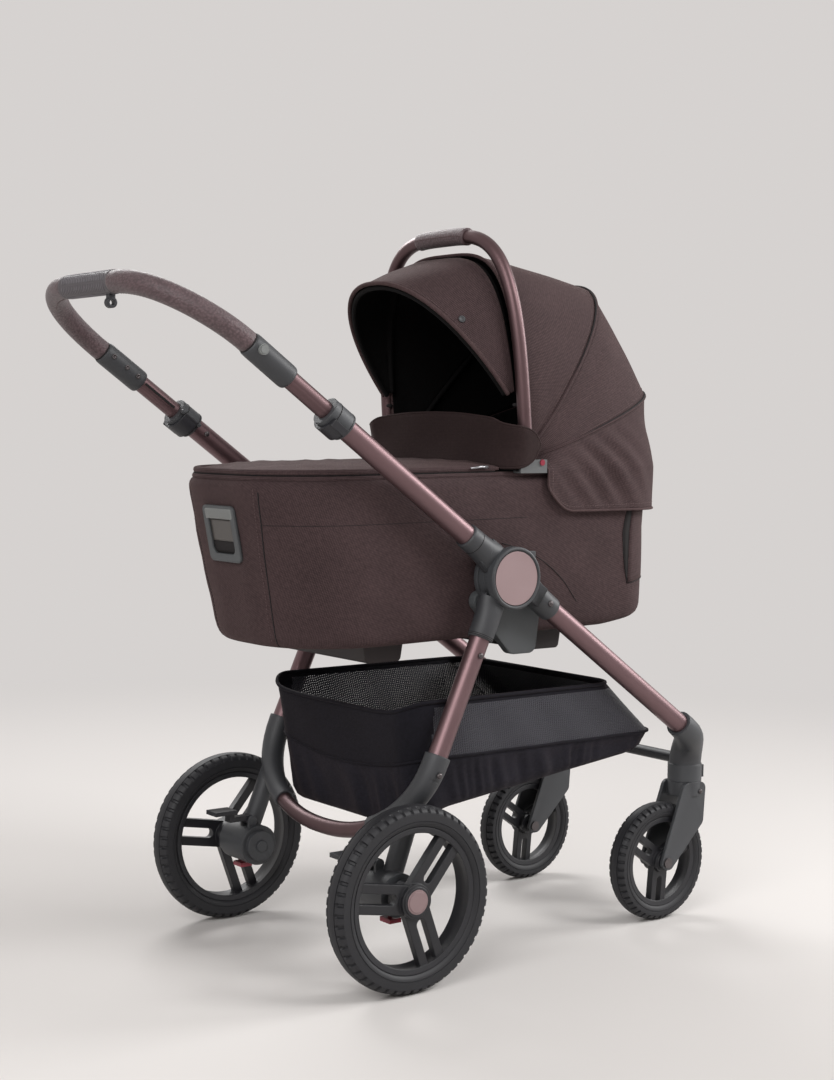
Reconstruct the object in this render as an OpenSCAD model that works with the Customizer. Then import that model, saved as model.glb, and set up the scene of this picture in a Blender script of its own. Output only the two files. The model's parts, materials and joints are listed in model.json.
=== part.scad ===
// Bassinet pram: folding tube chassis with swivel front wheels, telescopic handle,
// lift-off carry bassinet with folding hood, and a storage basket.
// X runs forward along the pram, Y to its left, Z up. Millimetres.
// Lengths along X in the settings are measured from the rear axle.

/* [Wheels] */
// Diameter of the rear wheels
rear_wheel_d = 290; // [270:1:310]
// Width of the rear tyres
rear_tyre_w = 42; // [36:1:48]
// Diameter of the front wheels
front_wheel_d = 207; // [190:1:215]
// Width of the front tyres
front_tyre_w = 36; // [30:1:40]
// Depth of a rear tyre from tread to rim
tyre_depth = 32; // [26:1:38]
// Depth of a front tyre from tread to rim
front_depth = 25; // [20:1:29]
// Distance from rear axle to front axle
wheelbase = 610; // [590:1:640]
// Stand of the rear wheel centres outside the frame tubes
rear_wheel_stand = 39; // [37:0.5:46]
// Inset of the front swivel axes from the frame tubes
caster_inset = 46; // [40:1:52]
// Trail of the front wheels behind their swivel axes
caster_trail = 66; // [56:1:70]
// Diameter of the rear stub axles
rear_axle_d = 12; // [10:0.5:14]
// Diameter of the front axle bolts
front_axle_d = 10; // [8:0.5:12]
// Width of a double spoke of the rear wheels
rear_spoke_w = 46; // [38:1:52]
// Width of the slot that splits a rear spoke
rear_spoke_slot = 17; // [12:1:22]
// Width of a double spoke of the front wheels
front_spoke_w = 34; // [28:1:36]
// Width of the slot that splits a front spoke
front_spoke_slot = 12; // [9:1:15]
// Turn of the first rear spoke
rear_spoke_turn = 70; // [0:1:120]
// Turn of the first front spoke
front_spoke_turn = 95; // [0:1:120]

/* [Chassis] */
// Fold hub position in front of the rear axle
hub_x = 218; // [208:1:228]
// Fold hub height
hub_z = 624; // [614:1:634]
// Slope of the handle and front leg line
frame_angle = 35.5; // [33:0.5:37]
// Height of that line above the hub centre, square to the line
line_offset = 8; // [6:0.5:9]
// Stand of the frame tubes outside the rim of the tub
tube_stand = 29; // [28:0.5:36]
// Diameter of the lower handle tubes and the front legs
leg_d = 34; // [32:0.5:35]
// Wall of the frame tubes
tube_wall = 2; // [1.5:0.1:2.5]
// Diameter of the rear legs
rear_leg_d = 32; // [30:0.5:34]
// Slope of the rear legs from upright
rear_leg_angle = 24.5; // [23:0.5:26]
// Offset of the rear leg line behind the hub centre
rear_leg_offset = 9; // [8:0.5:10]
// Radius of the round hub cheek
hub_r = 50; // [48:0.5:52]
// Radius of the plain hub cover
cover_r = 43; // [38:0.5:45]
// Radius of the fold pivot pins
pivot_r = 8; // [6:0.5:10]
// Radius of the tube sockets
socket_r = 20; // [19:0.5:21]
// Diameter of the bowed cross tube between the rear legs
cross_tube_d = 26; // [22:1:28]
// Height of the middle of the cross tube above the rear axle
cross_tube_lift = 63; // [56:1:70]
// Rise of the cross tube along the legs
cross_tube_rise = 150; // [140:1:158]
// Radius of the drum housing round the rear axle
drum_r = 34; // [31:1:38]
// Radius of the swivel collar of the front elbows
collar_r = 30; // [28:0.5:31]
// Height of the underside of the front elbows
elbow_z = 240; // [236:1:246]

/* [Handle] */
// Place of the clamp along the handle line, from the hub
clamp_s = 416; // [400:1:420]
// Length of a clamp collar
clamp_len = 42; // [36:1:46]
// Place of the lower end of the grip sleeves along the line
sleeve_s = 517; // [515:1:530]
// Length of the grip sleeves
sleeve_len = 83; // [78:1:90]
// Diameter of the telescopic tubes
inner_d = 28; // [26:0.5:29]
// Crossbar position behind the rear axle
bar_back = 398; // [385:1:410]
// Height of the crossbar
bar_z = 1066; // [1050:1:1080]
// Diameter of the wrapped handlebar
grip_d = 34; // [31:0.5:36]
// Length of the centre grip
centre_grip_len = 150; // [130:2:170]
// Radius of the hole in the strap loop
strap_hole_r = 4; // [3:0.5:5]

/* [Bassinet] */
// Height of the underside of the tub at its head end
tub_z = 530; // [528:1:540]
// Fall of the underside to the foot end
foot_drop = 14; // [8:1:18]
// Height of the rim at the foot end
rim_z = 781; // [776:1:784]
// Rise of the rim towards the head end
rim_rise = 12; // [6:1:14]
// Foot end of the rim behind the rear axle
foot_back = 188; // [175:1:200]
// Head end of the rim in front of the rear axle
head_x = 604; // [596:1:610]
// Half width of the rim
rim_half = 195; // [192:0.5:196]
// Lean of the foot end between floor and rim
foot_lean = 51; // [40:1:60]
// Lean of the head end between floor and rim
head_lean = 7; // [3:1:12]
// Lean of each side between floor and rim
side_lean = 20; // [17:1:21]
// Corner radius at the foot end
foot_corner = 150; // [130:1:165]
// Corner radius at the head end
head_corner = 100; // [85:1:115]
// Thickness of the padded wall
tub_wall = 14; // [10:1:18]
// Thickness of the mattress
mattress_h = 46; // [36:1:55]
// Open end of the apron in front of the rear axle
apron_x = 236; // [226:1:238]
// Height of the wind flap
flap_h = 90; // [70:1:96]

/* [Hood] */
// Hood pivot position in front of the rear axle
pivot_x = 288; // [285:1:291]
// Height of the hood pivot
pivot_z = 806; // [804:1:810]
// Inset of the hood hoops from the rim
hood_inset = 20; // [19:0.5:23]
// Place of the visor pivot up the bow
visor_up = 94; // [86:1:100]
// Reach of the brim from the visor pivot
brim_r = 256; // [248:1:264]
// Angle of the brim
brim_angle = 129.5; // [124:0.5:132]
// Reach of the carry bow from the pivot
bow_r = 375; // [368:1:385]
// Angle of the carry bow
bow_angle = 94.5; // [92:0.5:97]
// Diameter of the carry bow tube
bow_d = 23; // [20:0.5:24]
// Reach of the hood under the bow
crown_r = 346; // [338:1:352]
// Reach of the rear hoop seam
rear_hoop_r = 396; // [386:1:406]
// Angle of the rear hoop seam
rear_hoop_angle = 50.5; // [48:0.5:53]
// Reach of the skirt seam
skirt_seam_r = 378; // [370:1:382]
// Angle of the skirt seam
skirt_seam_angle = 19.5; // [18:0.5:21]
// Height of the hem of the skirt
skirt_z = 726; // [716:1:736]
// Stand of the skirt behind the head end
skirt_flare = 18; // [12:1:22]
// Thickness of the hood cloth
cloth_t = 3; // [2.5:0.1:3.5]

/* [Basket] */
// Height of the basket rim
basket_z = 432; // [426:1:438]
// Rear edge of the basket in front of the rear axle
basket_rear = 40; // [34:1:46]
// Front edge of the basket in front of the rear axle
basket_front = 612; // [600:1:618]
// Lean of the basket's front wall
basket_front_lean = 54; // [44:1:60]
// Height of the basket floor at its rear edge
basket_floor_z = 242; // [236:1:250]
// Slope of the basket floor
basket_slope = 7; // [6:0.5:8]
// Thickness of the basket cloth
basket_t = 4; // [3:0.5:5]

/* [Clearances] */
// Gap between pieces that move past each other
gap = 0.3; // [0.2:0.05:0.4]
// Radial clearance of shafts
run = 0.05; // [0.02:0.01:0.08]
// Radial clearance of tubes in their sockets
seat = 0.1; // [0.05:0.01:0.15]

/* [Hidden] */
$fn = 48;
bronze = "#7a544c";
charcoal = "#3b3c3f";
black = "#1d1d20";
cloth = "#54413f";
dark_cloth = "#232127";
leather = "#5a3f3c";
grey = "#8f9390";
red = "#a01824";

rear_r = rear_wheel_d / 2;
front_r = front_wheel_d / 2;
tube_y = rim_half + tube_stand;
rear_y = tube_y + rear_wheel_stand;
caster_y = tube_y - caster_inset;
caster_x = wheelbase + caster_trail;
foot_x = -foot_back;
bar_x = -bar_back;
leg_r = leg_d / 2;
rear_leg_r = rear_leg_d / 2;
grip_r = grip_d / 2;
inner_r = inner_d / 2;
// Stand of the rings at the ends of the centre grip
grip_ring = 1;

// The origin lies midway between the handlebar and the front of the front wheels
origin_x = (bar_x - grip_r - grip_ring + wheelbase + front_r) / 2;

// Layers of the fold hub, outward along Y
hub_in = tube_y - 26;
rear_knuckle_in = hub_in + 8 + gap;
knuckle_t = 14;
handle_knuckle_in = rear_knuckle_in + knuckle_t + gap;
cheek_in = handle_knuckle_in + knuckle_t + gap;
hub_out = cheek_in + 14;
cover_t = 2.5;
knuckle_r = hub_r - 6;
// Half widths of the necks between hub and sockets, above and below the hub centre
neck_high = line_offset + 14;
neck_low = 12;
neck_half = 22;
rear_neck_half = 16;
socket_start = 62;
socket_end = 108;
rear_socket_start = 54;
rear_socket_end = 100;
tube_stop = 7;

// Rear end of the frame
boot_r = rear_leg_r + 5;
boot_hold = 34;
arm_r = 16;
drum_in = tube_y - 60;
drum_out = rear_y - rear_tyre_w / 2 - 3;
rear_hub_r = 27;
front_hub_r = 19;
pedal_in = drum_in + 13;
pedal_w = 17;
pedal_pin_r = 3.5;
pedal_ear_t = 5;
pedal_hub_r = 8;
pedal_z = rear_r + drum_r + pedal_hub_r + gap;
pedal_x = -8;
tab_travel = 3;

// Front end of the frame
elbow_s = -478;
leg_end_s = -512;
stem_r = 7;
stem_top = elbow_z + 46;
fork_in = front_tyre_w / 2 + 4;
fork_t = 6;
crown_z = front_wheel_d + 7;
crossbar_d = 20;
crossbar_up = 36;

// Handle
clamp_r = leg_r + 6;
clamp_bush = 14;
lower_end_s = clamp_s + clamp_len / 2 - clamp_bush;
inner_start_s = clamp_s - 130;
inner_end_s = sleeve_s + sleeve_len * 0.5;
sleeve_r = inner_r + 5;
button_s = sleeve_s + sleeve_len * 0.8;
button_r = 8;
button_travel = 3;
lever_len = clamp_len - 14;
lever_eye_r = 3.4;
lever_pin_r = 1.6;
lever_hinge_r = clamp_r + gap + lever_eye_r + 0.1;
lever_t = 5;

// Bassinet seat
receiver_out = hub_in;
receiver_in = receiver_out - 15;
tongue_x = hub_x + 54;
tongue_w = 44;
tongue_rest = 22;
receiver_top = hub_z - 23;
receiver_low = receiver_top - 106;
adaptor_w = 64;
adaptor_h = 60;
adaptor_reach = 14;
tub_h = rim_z - tub_z;
floor_t = 15;

// Hood layers at the pivot
hood_half = rim_half - hood_inset;
hood_pin_r = 4;
eye_r = 9;
visor_ahead = 6;
bow_half = hood_half + bow_d / 2 + 3 * gap;
brim_half = hood_half - 3;
seam_half = hood_half + 5;
skirt_half = hood_half + 15;
hoop_r = 4;
hoop_inset = cloth_t + hoop_r + 1;
brim_inset = hoop_inset + 2;
arch_steps = 20;
bow_sides = 12;
eye_start = 8;
panel_start = 22;
flap_t = 3;
flap_x = apron_x + gap + flap_t / 2;
bow_grip_half = 66;
bow_grip_r = bow_d / 2 + 3;

// Placing

module in_frame() {
    translate([-origin_x, 0, 0]) children();
}

// side 1 is the left of the pram, side -1 its mirror image
module on_side(side) {
    if (side > 0) children();
    else mirror([0, 1, 0]) children();
}

module on_both() {
    for (side = [1, -1]) on_side(side) children();
}

// Handle and front leg line: local Z runs up the handle, local X out of its upper side
function line_point(s) = [
    hub_x + line_offset * sin(frame_angle) - s * cos(frame_angle),
    tube_y,
    hub_z + line_offset * cos(frame_angle) + s * sin(frame_angle)
];

module on_line(s) {
    translate(line_point(s)) rotate([0, frame_angle - 90, 0]) children();
}

// Rear leg line: local Z runs up the leg, d is the distance below the hub
function leg_point(d) = [
    hub_x - rear_leg_offset * cos(rear_leg_angle) - d * sin(rear_leg_angle),
    tube_y,
    hub_z + rear_leg_offset * sin(rear_leg_angle) - d * cos(rear_leg_angle)
];

module on_rear_leg(d) {
    translate(leg_point(d)) rotate([0, rear_leg_angle, 0]) children();
}

// A round bar along Y
module bar_y(x, z, y0, y1, r) {
    translate([x, y0, z]) rotate([-90, 0, 0]) cylinder(h = y1 - y0, r = r);
}

// A round bar between two points
module rod(p, q, r) {
    d = q - p;
    length = norm(d);
    translate(p) rotate([0, acos(d[2] / length), atan2(d[1], d[0])]) cylinder(h = length, r = r);
}

// A plate in the XZ plane with round corners, between y0 and y1
module corner_plate(corners, r, y0, y1) {
    translate([0, y1, 0]) rotate([90, 0, 0]) linear_extrude(y1 - y0)
        hull() for (c = corners) translate(c) circle(r, $fn = 32);
}

// Lofting

function unit(v) = v / norm(v);

function mix(a, b, t) = a + (b - a) * t;

function bezier(a, b, c, d, t) =
    pow(1 - t, 3) * a + 3 * pow(1 - t, 2) * t * b + 3 * (1 - t) * t * t * c + pow(t, 3) * d;

function flat(lists) = [for (l = lists) for (p = l) p];

// A closed solid through rings of equal point counts, capped at both ends
module loft(rings) {
    n = len(rings[0]);
    last = (len(rings) - 1) * n;
    sides = [
        for (i = [0 : len(rings) - 2]) for (j = [0 : n - 1])
            let (a = i * n + j, b = i * n + (j + 1) % n)
            each [[a, a + n, b], [b, a + n, b + n]]
    ];
    start_cap = [[for (j = [0 : n - 1]) j]];
    end_cap = [[for (j = [n - 1 : -1 : 0]) last + j]];
    polyhedron(points = flat(rings), faces = concat(sides, start_cap, end_cap), convexity = 10);
}

// A closed solid between two grids of points that face each other; seen from the first
// grid's side, columns run to the left of the rows
module slab(top, under) {
    rows = len(top);
    cols = len(top[0]);
    count = rows * cols;
    function at(i, j) = i * cols + j;
    skins = [
        for (i = [0 : rows - 2]) for (j = [0 : cols - 2])
            let (a = at(i, j), b = at(i, j + 1), c = at(i + 1, j + 1), d = at(i + 1, j))
            each [
                [a, b, c], [a, c, d],
                [count + c, count + b, count + a], [count + d, count + c, count + a]
            ]
    ];
    edge = concat(
        [for (j = [0 : cols - 2]) at(0, j)],
        [for (i = [0 : rows - 2]) at(i, cols - 1)],
        [for (j = [cols - 1 : -1 : 1]) at(rows - 1, j)],
        [for (i = [rows - 1 : -1 : 1]) at(i, 0)]
    );
    walls = [
        for (k = [0 : len(edge) - 1])
            let (a = edge[k], b = edge[(k + 1) % len(edge)])
            each [[a, count + a, b], [b, count + a, count + b]]
    ];
    polyhedron(points = concat(flat(top), flat(under)), faces = concat(skins, walls), convexity = 10);
}

// A round tube along a path; normal is a direction that no stretch of the path runs along
module sweep(path, radii, normal, sides = 12) {
    last = len(path) - 1;
    rings = [
        for (i = [0 : last])
            let (
                t = unit(path[min(i + 1, last)] - path[max(i - 1, 0)]),
                u = unit(cross(t, normal)),
                v = cross(t, u)
            )
            [
                for (k = [0 : sides - 1])
                    let (a = 360 * k / sides)
                    path[i] + radii[i] * (cos(a) * u + sin(a) * v)
            ]
    ];
    loft(rings);
}

// Chassis

module front_leg_tubes() {
    color(bronze) in_frame() on_both() difference() {
        on_line(leg_end_s) cylinder(h = -leg_end_s - socket_start - tube_stop, r = leg_r);
        on_line(leg_end_s - 1) cylinder(h = -leg_end_s, r = leg_r - tube_wall);
    }
}

module hub_housings() {
    color(charcoal) in_frame() on_both() difference() {
        union() {
            bar_y(hub_x, hub_z, cheek_in, hub_out, hub_r);
            bar_y(hub_x, hub_z, hub_in, rear_knuckle_in - gap, knuckle_r + 2);
            on_line(0) translate([-line_offset - neck_low, hub_in - tube_y, -socket_start - 4])
                cube([neck_low + neck_high, hub_out - hub_in, socket_start + 4 - knuckle_r - 2 * gap]);
            on_line(-socket_end) cylinder(h = socket_end - socket_start + 4, r = socket_r);
        }
        bar_y(hub_x, hub_z, hub_in - 1, hub_out + 1, pivot_r + run);
        bar_y(hub_x, hub_z, hub_out - cover_t + 0.5, hub_out + 1, cover_r + seat);
        on_line(-socket_end - 1)
            cylinder(h = socket_end - socket_start - tube_stop + 1.5, r = leg_r + seat);
    }
}

module hub_covers() {
    color("#a8837c") in_frame() on_both()
        bar_y(hub_x, hub_z, hub_out - cover_t + 0.5 + seat, hub_out + 0.5, cover_r);
}

module fold_pivot_pins() {
    color(grey) in_frame() on_both() bar_y(hub_x, hub_z, hub_in, hub_out - cover_t, pivot_r);
}

module elbow_body() {
    steps = 8;
    top = line_point(elbow_s);
    bend = line_point(elbow_s - 58);
    low = [caster_x, caster_y, elbow_z + 18];
    path = [for (i = [0 : steps]) bezier(top, bend, low + [0, 0, 62], low, i / steps)];
    radii = [for (i = [0 : steps]) mix(leg_r + 6, collar_r - 1, i / steps)];
    sweep(path, radii, [0, 1, 0], 20);
    translate([caster_x, caster_y, elbow_z]) cylinder(h = 30, r = collar_r);
}

module front_elbows() {
    color(charcoal) in_frame() on_both() difference() {
        elbow_body();
        on_line(leg_end_s - 0.5) cylinder(h = 60, r = leg_r + seat);
        translate([caster_x, caster_y, elbow_z - 1])
            cylinder(h = stem_top - elbow_z + 1.5, r = stem_r + run);
        bar_y(caster_x, elbow_z + crossbar_up, -caster_y, caster_y - 16, crossbar_d / 2 + seat);
    }
}

module front_crossbar() {
    reach = caster_y - 17;
    color(black) in_frame() difference() {
        bar_y(caster_x, elbow_z + crossbar_up, -reach, reach, crossbar_d / 2);
        bar_y(caster_x, elbow_z + crossbar_up, -reach - 1, reach + 1, crossbar_d / 2 - tube_wall);
    }
}

module receiver_body() {
    corner_plate([
        [hub_x - 28, receiver_top - 16], [tongue_x + 26, receiver_top - 16],
        [tongue_x - 14, receiver_low + 16], [tongue_x + 17, receiver_low + 16]
    ], 16, receiver_in, receiver_out);
}

module bassinet_receivers() {
    color("#55585a") in_frame() on_both() difference() {
        receiver_body();
        translate([tongue_x - tongue_w / 2, receiver_in + 3, receiver_low + tongue_rest])
            cube([tongue_w, 9, receiver_top - receiver_low]);
    }
}

// Basket: a sewn basin hung between the legs

// The pouch hangs lower at its rear edge
pouch_drop = 60;
pouch_len = 110;

function basket_floor(x) =
    let (rear = max(0, 1 - (x - basket_rear) / pouch_len))
    basket_floor_z + (x - basket_rear) * tan(basket_slope) - pouch_drop * rear * rear;

function basket_outline(inset, level) =
    let (
        rear = basket_rear + inset + 26 * (1 - level),
        front = basket_front - inset - basket_front_lean * level,
        half = tube_y - leg_r - gap - inset - 14 * (1 - level),
        r = 46 - inset * 0.5,
        steps = 5
    )
    flat([
        for (c = [[front - r, r - half, -90], [front - r, half - r, 0],
            [rear + r, half - r, 90], [rear + r, r - half, 180]])
            [
                for (i = [0 : steps])
                    let (a = c[2] + 90 * i / steps)
                    [c[0] + r * cos(a), c[1] + r * sin(a)]
            ]
    ]);

function basket_ring(inset, level, rise) = [
    for (p = basket_outline(inset, level))
        [p[0], p[1], mix(basket_floor(p[0]) + rise, basket_z, level)]
];

module storage_basket() {
    outer = [for (level = [0, 0.12, 0.5, 1]) basket_ring(level == 0 ? 14 : 0, level, 0)];
    inner = [
        for (level = [1, 0.5, 0.12, 0]) basket_ring(basket_t + (level == 0 ? 14 : 0), level, basket_t)
    ];
    color(dark_cloth) in_frame() loft(concat(outer, inner));
}

// Handle

// A round plate that turns on the pivot pin at [centre, 0], with a neck that runs to its socket
module knuckle_plate(centre, half, reach, y) {
    translate([0, y - tube_y + knuckle_t, 0]) rotate([90, 0, 0]) linear_extrude(knuckle_t) difference() {
        union() {
            translate([centre, 0]) circle(knuckle_r);
            translate([-half, min(reach, 0)]) square([2 * half, abs(reach)]);
        }
        translate([centre, 0]) circle(pivot_r + run);
    }
}

module handle_knuckles() {
    color(charcoal) in_frame() on_both() difference() {
        union() {
            on_line(0)
                knuckle_plate(-line_offset, neck_half, socket_start + 4, handle_knuckle_in);
            on_line(socket_start) cylinder(h = socket_end - socket_start, r = socket_r);
        }
        on_line(socket_start + tube_stop - 0.5) cylinder(h = socket_end - socket_start, r = leg_r + seat);
    }
}

module handle_tubes() {
    start = socket_start + tube_stop;
    color(bronze) in_frame() on_both() difference() {
        on_line(start) cylinder(h = lower_end_s - start, r = leg_r);
        on_line(start - 1) cylinder(h = lower_end_s - start + 2, r = leg_r - tube_wall);
    }
}

module clamp_collars() {
    low = clamp_s - clamp_len / 2;
    color(charcoal) in_frame() on_both() difference() {
        union() {
            on_line(low) cylinder(h = clamp_len, r = clamp_r);
            for (s = [low, clamp_s + clamp_len / 2 - 6]) on_line(s) clamp_ear(6);
            on_line(low) translate([0, -lever_hinge_r, 0]) cylinder(h = clamp_len, r = lever_pin_r);
        }
        on_line(low - 1) cylinder(h = clamp_len - clamp_bush + 1.5, r = leg_r + seat);
        on_line(low - 1) cylinder(h = clamp_len + 2, r = inner_r + run);
    }
}

// An ear that holds the lever's pin on the inner side of the collar
module clamp_ear(t) {
    translate([0, -lever_hinge_r, 0]) cylinder(h = t, r = lever_eye_r);
    translate([-lever_eye_r, -lever_hinge_r, 0])
        cube([2 * lever_eye_r, lever_hinge_r - clamp_r + 2, t]);
}

// A curved flip lever that hugs the underside of the collar
module clamp_lever(side) {
    inner = clamp_r + gap;
    far = 3 * clamp_r;
    color(black) in_frame() on_side(side) on_line(clamp_s - lever_len / 2)
        linear_extrude(height = lever_len) difference() {
            union() {
                intersection() {
                    difference() {
                        circle(inner + lever_t);
                        circle(inner);
                    }
                    polygon([[0, 0], for (a = [118, 167, 216, 264]) far * [cos(a), sin(a)]]);
                }
                translate([0, -lever_hinge_r]) circle(lever_eye_r);
                rotate(110) translate([inner + 1.5, 0]) square([lever_t + 1.5, 12]);
            }
            translate([0, -lever_hinge_r]) circle(lever_pin_r + run);
        }
}

module clamp_lever_left() { clamp_lever(1); }

module clamp_lever_right() { clamp_lever(-1); }

module handle_inner_tubes() {
    color(bronze) in_frame() on_both() {
        difference() {
            on_line(inner_start_s) cylinder(h = inner_end_s - inner_start_s, r = inner_r);
            on_line(inner_start_s - 1)
                cylinder(h = inner_end_s - inner_start_s + 2, r = inner_r - tube_wall);
        }
        on_line(inner_start_s) difference() {
            cylinder(h = 16, r = leg_r - tube_wall - run);
            translate([0, 0, -1]) cylinder(h = 18, r = inner_r - tube_wall);
        }
    }
}

module handle_sleeves() {
    color(charcoal) in_frame() on_both() difference() {
        on_line(sleeve_s) {
            cylinder(h = sleeve_len, r = sleeve_r);
            cylinder(h = 8, r = sleeve_r + 1.5);
        }
        on_line(sleeve_s - 1) cylinder(h = inner_end_s - sleeve_s + 1.5, r = inner_r + seat);
        on_line(button_s) translate([0, sleeve_r - 13, 0])
            rotate([-90, 0, 0]) cylinder(h = 20, r = button_r + run);
    }
}

module handle_button(side) {
    color(black) in_frame() on_side(side) on_line(button_s)
        translate([0, sleeve_r - 13 + button_travel + gap, 0])
        rotate([-90, 0, 0]) {
            cylinder(h = 13, r = button_r);
            cylinder(h = 14, r = button_r - 2);
        }
}

module handle_button_left() { handle_button(1); }

module handle_button_right() { handle_button(-1); }

// Half of the bent handlebar, from the sleeve to the centre grip
function handlebar_path() =
    let (
        foot = sleeve_s + sleeve_len,
        end = [bar_x, centre_grip_len / 2, bar_z],
        straight = 4,
        steps = 14
    )
    concat([line_point(foot)], [
        for (i = [0 : steps])
            bezier(line_point(foot + straight), line_point(foot + 62), end + [0, 104, 0],
                end + [0, straight, 0], i / steps)
    ], [end]);

module handlebar_grip() {
    path = handlebar_path();
    color(leather) in_frame() on_both()
        sweep(path, [for (p = path) grip_r], [sin(frame_angle), 0, cos(frame_angle)], 16);
}

module centre_grip() {
    color("#4a4648") in_frame() {
        bar_y(bar_x, bar_z, -centre_grip_len / 2 + seat, centre_grip_len / 2 - seat, grip_r);
        for (side = [1, -1]) on_side(side)
            bar_y(bar_x, bar_z, centre_grip_len / 2 - 5, centre_grip_len / 2 - seat, grip_r + grip_ring);
    }
}

module strap_loop() {
    top = bar_z - grip_r - gap;
    y = -centre_grip_len / 2 + 14;
    color(black) in_frame() difference() {
        union() {
            bar_y(bar_x, top - 12, y - 5, y + 5, strap_hole_r + 4);
            translate([bar_x - 5, y - 5, top - 12]) cube([10, 10, 12]);
        }
        bar_y(bar_x, top - 12, y - 6, y + 6, strap_hole_r);
        bar_y(bar_x, bar_z, y - 6, y + 6, grip_r + gap);
    }
}

// Rear legs

module rear_knuckle() {
    difference() {
        union() {
            on_rear_leg(0)
                knuckle_plate(rear_leg_offset, rear_neck_half, -rear_socket_start - 6, rear_knuckle_in);
            on_rear_leg(rear_socket_end) cylinder(h = rear_socket_end - rear_socket_start, r = socket_r);
        }
        on_rear_leg(rear_socket_end + 1)
            cylinder(h = rear_socket_end - rear_socket_start - tube_stop + 1.5, r = rear_leg_r + seat);
    }
}

// The cross tube leaves each leg in line with it and bows down between them
low_d = (leg_point(0)[2] - rear_r - cross_tube_lift) / cos(rear_leg_angle);
boot_start = low_d - cross_tube_rise;

function bow_point(y) =
    let (power = 2.2, side = min(1, abs(y) / tube_y), d = low_d - cross_tube_rise
        * (1 - pow(max(0, 1 - pow(side, power)), 1 / power)))
    [leg_point(d)[0], y, leg_point(d)[2]];

module rear_leg_tubes() {
    start = rear_socket_start + tube_stop;
    end = boot_start + boot_hold;
    color(bronze) in_frame() on_both() difference() {
        on_rear_leg(end) cylinder(h = end - start, r = rear_leg_r);
        on_rear_leg(end + 1) cylinder(h = end - start + 2, r = rear_leg_r - tube_wall);
    }
}

// Where the boots let the cross tube out, and how far it runs into them
branch_y = tube_y - 96;
branch_in = 22;

function cross_tube_path() =
    let (steps = 24, reach = branch_y + branch_in)
    [for (i = [0 : steps]) bow_point(mix(-reach, reach, i / steps))];

module rear_cross_tube() {
    path = cross_tube_path();
    color(bronze) in_frame() sweep(path, [for (p = path) cross_tube_d / 2], [1, 0, 0], 14);
}

// The curved part of a boot, from the leg to the cross tube
module boot_bend() {
    steps = 12;
    turns = [for (i = [0 : steps]) mix(branch_y / tube_y, 1, sin(90 * i / steps))];
    path = concat([for (t = turns) bow_point(t * tube_y)], [leg_point(boot_start - 6)]);
    radii = concat([for (i = [0 : steps]) mix(cross_tube_d / 2 + 4, boot_r, i / steps)], [boot_r]);
    sweep(path, radii, [cos(rear_leg_angle), 0, -sin(rear_leg_angle)], 16);
}

// The cross tube with room round it and at its ends
module cross_tube_room() {
    path = cross_tube_path();
    last = len(path) - 1;
    room = concat(
        [path[0] + gap * unit(path[0] - path[1])], path, [path[last] + gap * unit(path[last] - path[last - 1])]
    );
    sweep(room, [for (p = room) cross_tube_d / 2 + seat], [1, 0, 0], 14);
}

module rear_leg_boot() {
    arm_top = bow_point(tube_y - 20) + [0, 0, -4];
    difference() {
        union() {
            boot_bend();
            rod([0, tube_y - 16, rear_r], arm_top, arm_r);
            bar_y(0, rear_r, drum_in, drum_out, drum_r);
            bar_y(0, rear_r, drum_in - 8, drum_in, drum_r - 8);
            for (y = [pedal_in - pedal_ear_t - gap, pedal_in + pedal_w + gap]) {
                bar_y(pedal_x, pedal_z, y, y + pedal_ear_t, pedal_hub_r);
                translate([pedal_x - pedal_hub_r, y, rear_r])
                    cube([2 * pedal_hub_r, pedal_ear_t, pedal_z - rear_r]);
            }
            bar_y(pedal_x, pedal_z, pedal_in - pedal_ear_t, pedal_in + pedal_w + pedal_ear_t, pedal_pin_r);
        }
        on_rear_leg(boot_start + boot_hold + 0.5) cylinder(h = 60, r = rear_leg_r + seat);
        cross_tube_room();
        bar_y(0, rear_r, drum_in - 9, drum_out + 1, rear_axle_d / 2 + seat);
        translate([0, tube_y - 8, rear_r - drum_r - 1]) cylinder(h = 16, r = 4 + run);
    }
}

// The knuckles that fold at the hub and the boots that hold the rear axles
module rear_leg_fittings() {
    color(charcoal) in_frame() on_both() {
        rear_knuckle();
        rear_leg_boot();
    }
}

module rear_axles() {
    color(grey) in_frame() on_both() {
        bar_y(0, rear_r, drum_in - 8, rear_y + rear_tyre_w / 2 - 4, rear_axle_d / 2);
        bar_y(0, rear_r, drum_in - 11, drum_in - 8, rear_axle_d / 2 + 4);
    }
}

// A stepped foot pedal on the drum housing
module brake_pedal(side) {
    color(black) in_frame() on_side(side) difference() {
        union() {
            bar_y(pedal_x, pedal_z, pedal_in, pedal_in + pedal_w, pedal_hub_r);
            translate([pedal_x - 34, pedal_in, pedal_z]) cube([34, pedal_w, 8]);
            translate([pedal_x - 42, pedal_in, pedal_z]) cube([9, pedal_w, 22]);
            translate([pedal_x - 74, pedal_in - 8, pedal_z + 15]) cube([41, pedal_w + 16, 7]);
        }
        bar_y(pedal_x, pedal_z, pedal_in - 1, pedal_in + pedal_w + 1, pedal_pin_r + run);
    }
}

module brake_pedal_left() { brake_pedal(1); }

module brake_pedal_right() { brake_pedal(-1); }

// A red push tab under the drum that frees the wheel
module wheel_release(side) {
    low = rear_r - drum_r;
    color(red) in_frame() on_side(side) {
        translate([0, tube_y - 8, low - tab_travel - 2]) cylinder(h = 14, r = 4);
        translate([-11, tube_y - 20, low - tab_travel - 8]) cube([22, 26, 7]);
    }
}

module wheel_release_left() { wheel_release(1); }

module wheel_release_right() { wheel_release(-1); }

// Wheels, about an axis along local Z with the outer face towards +Z

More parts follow.
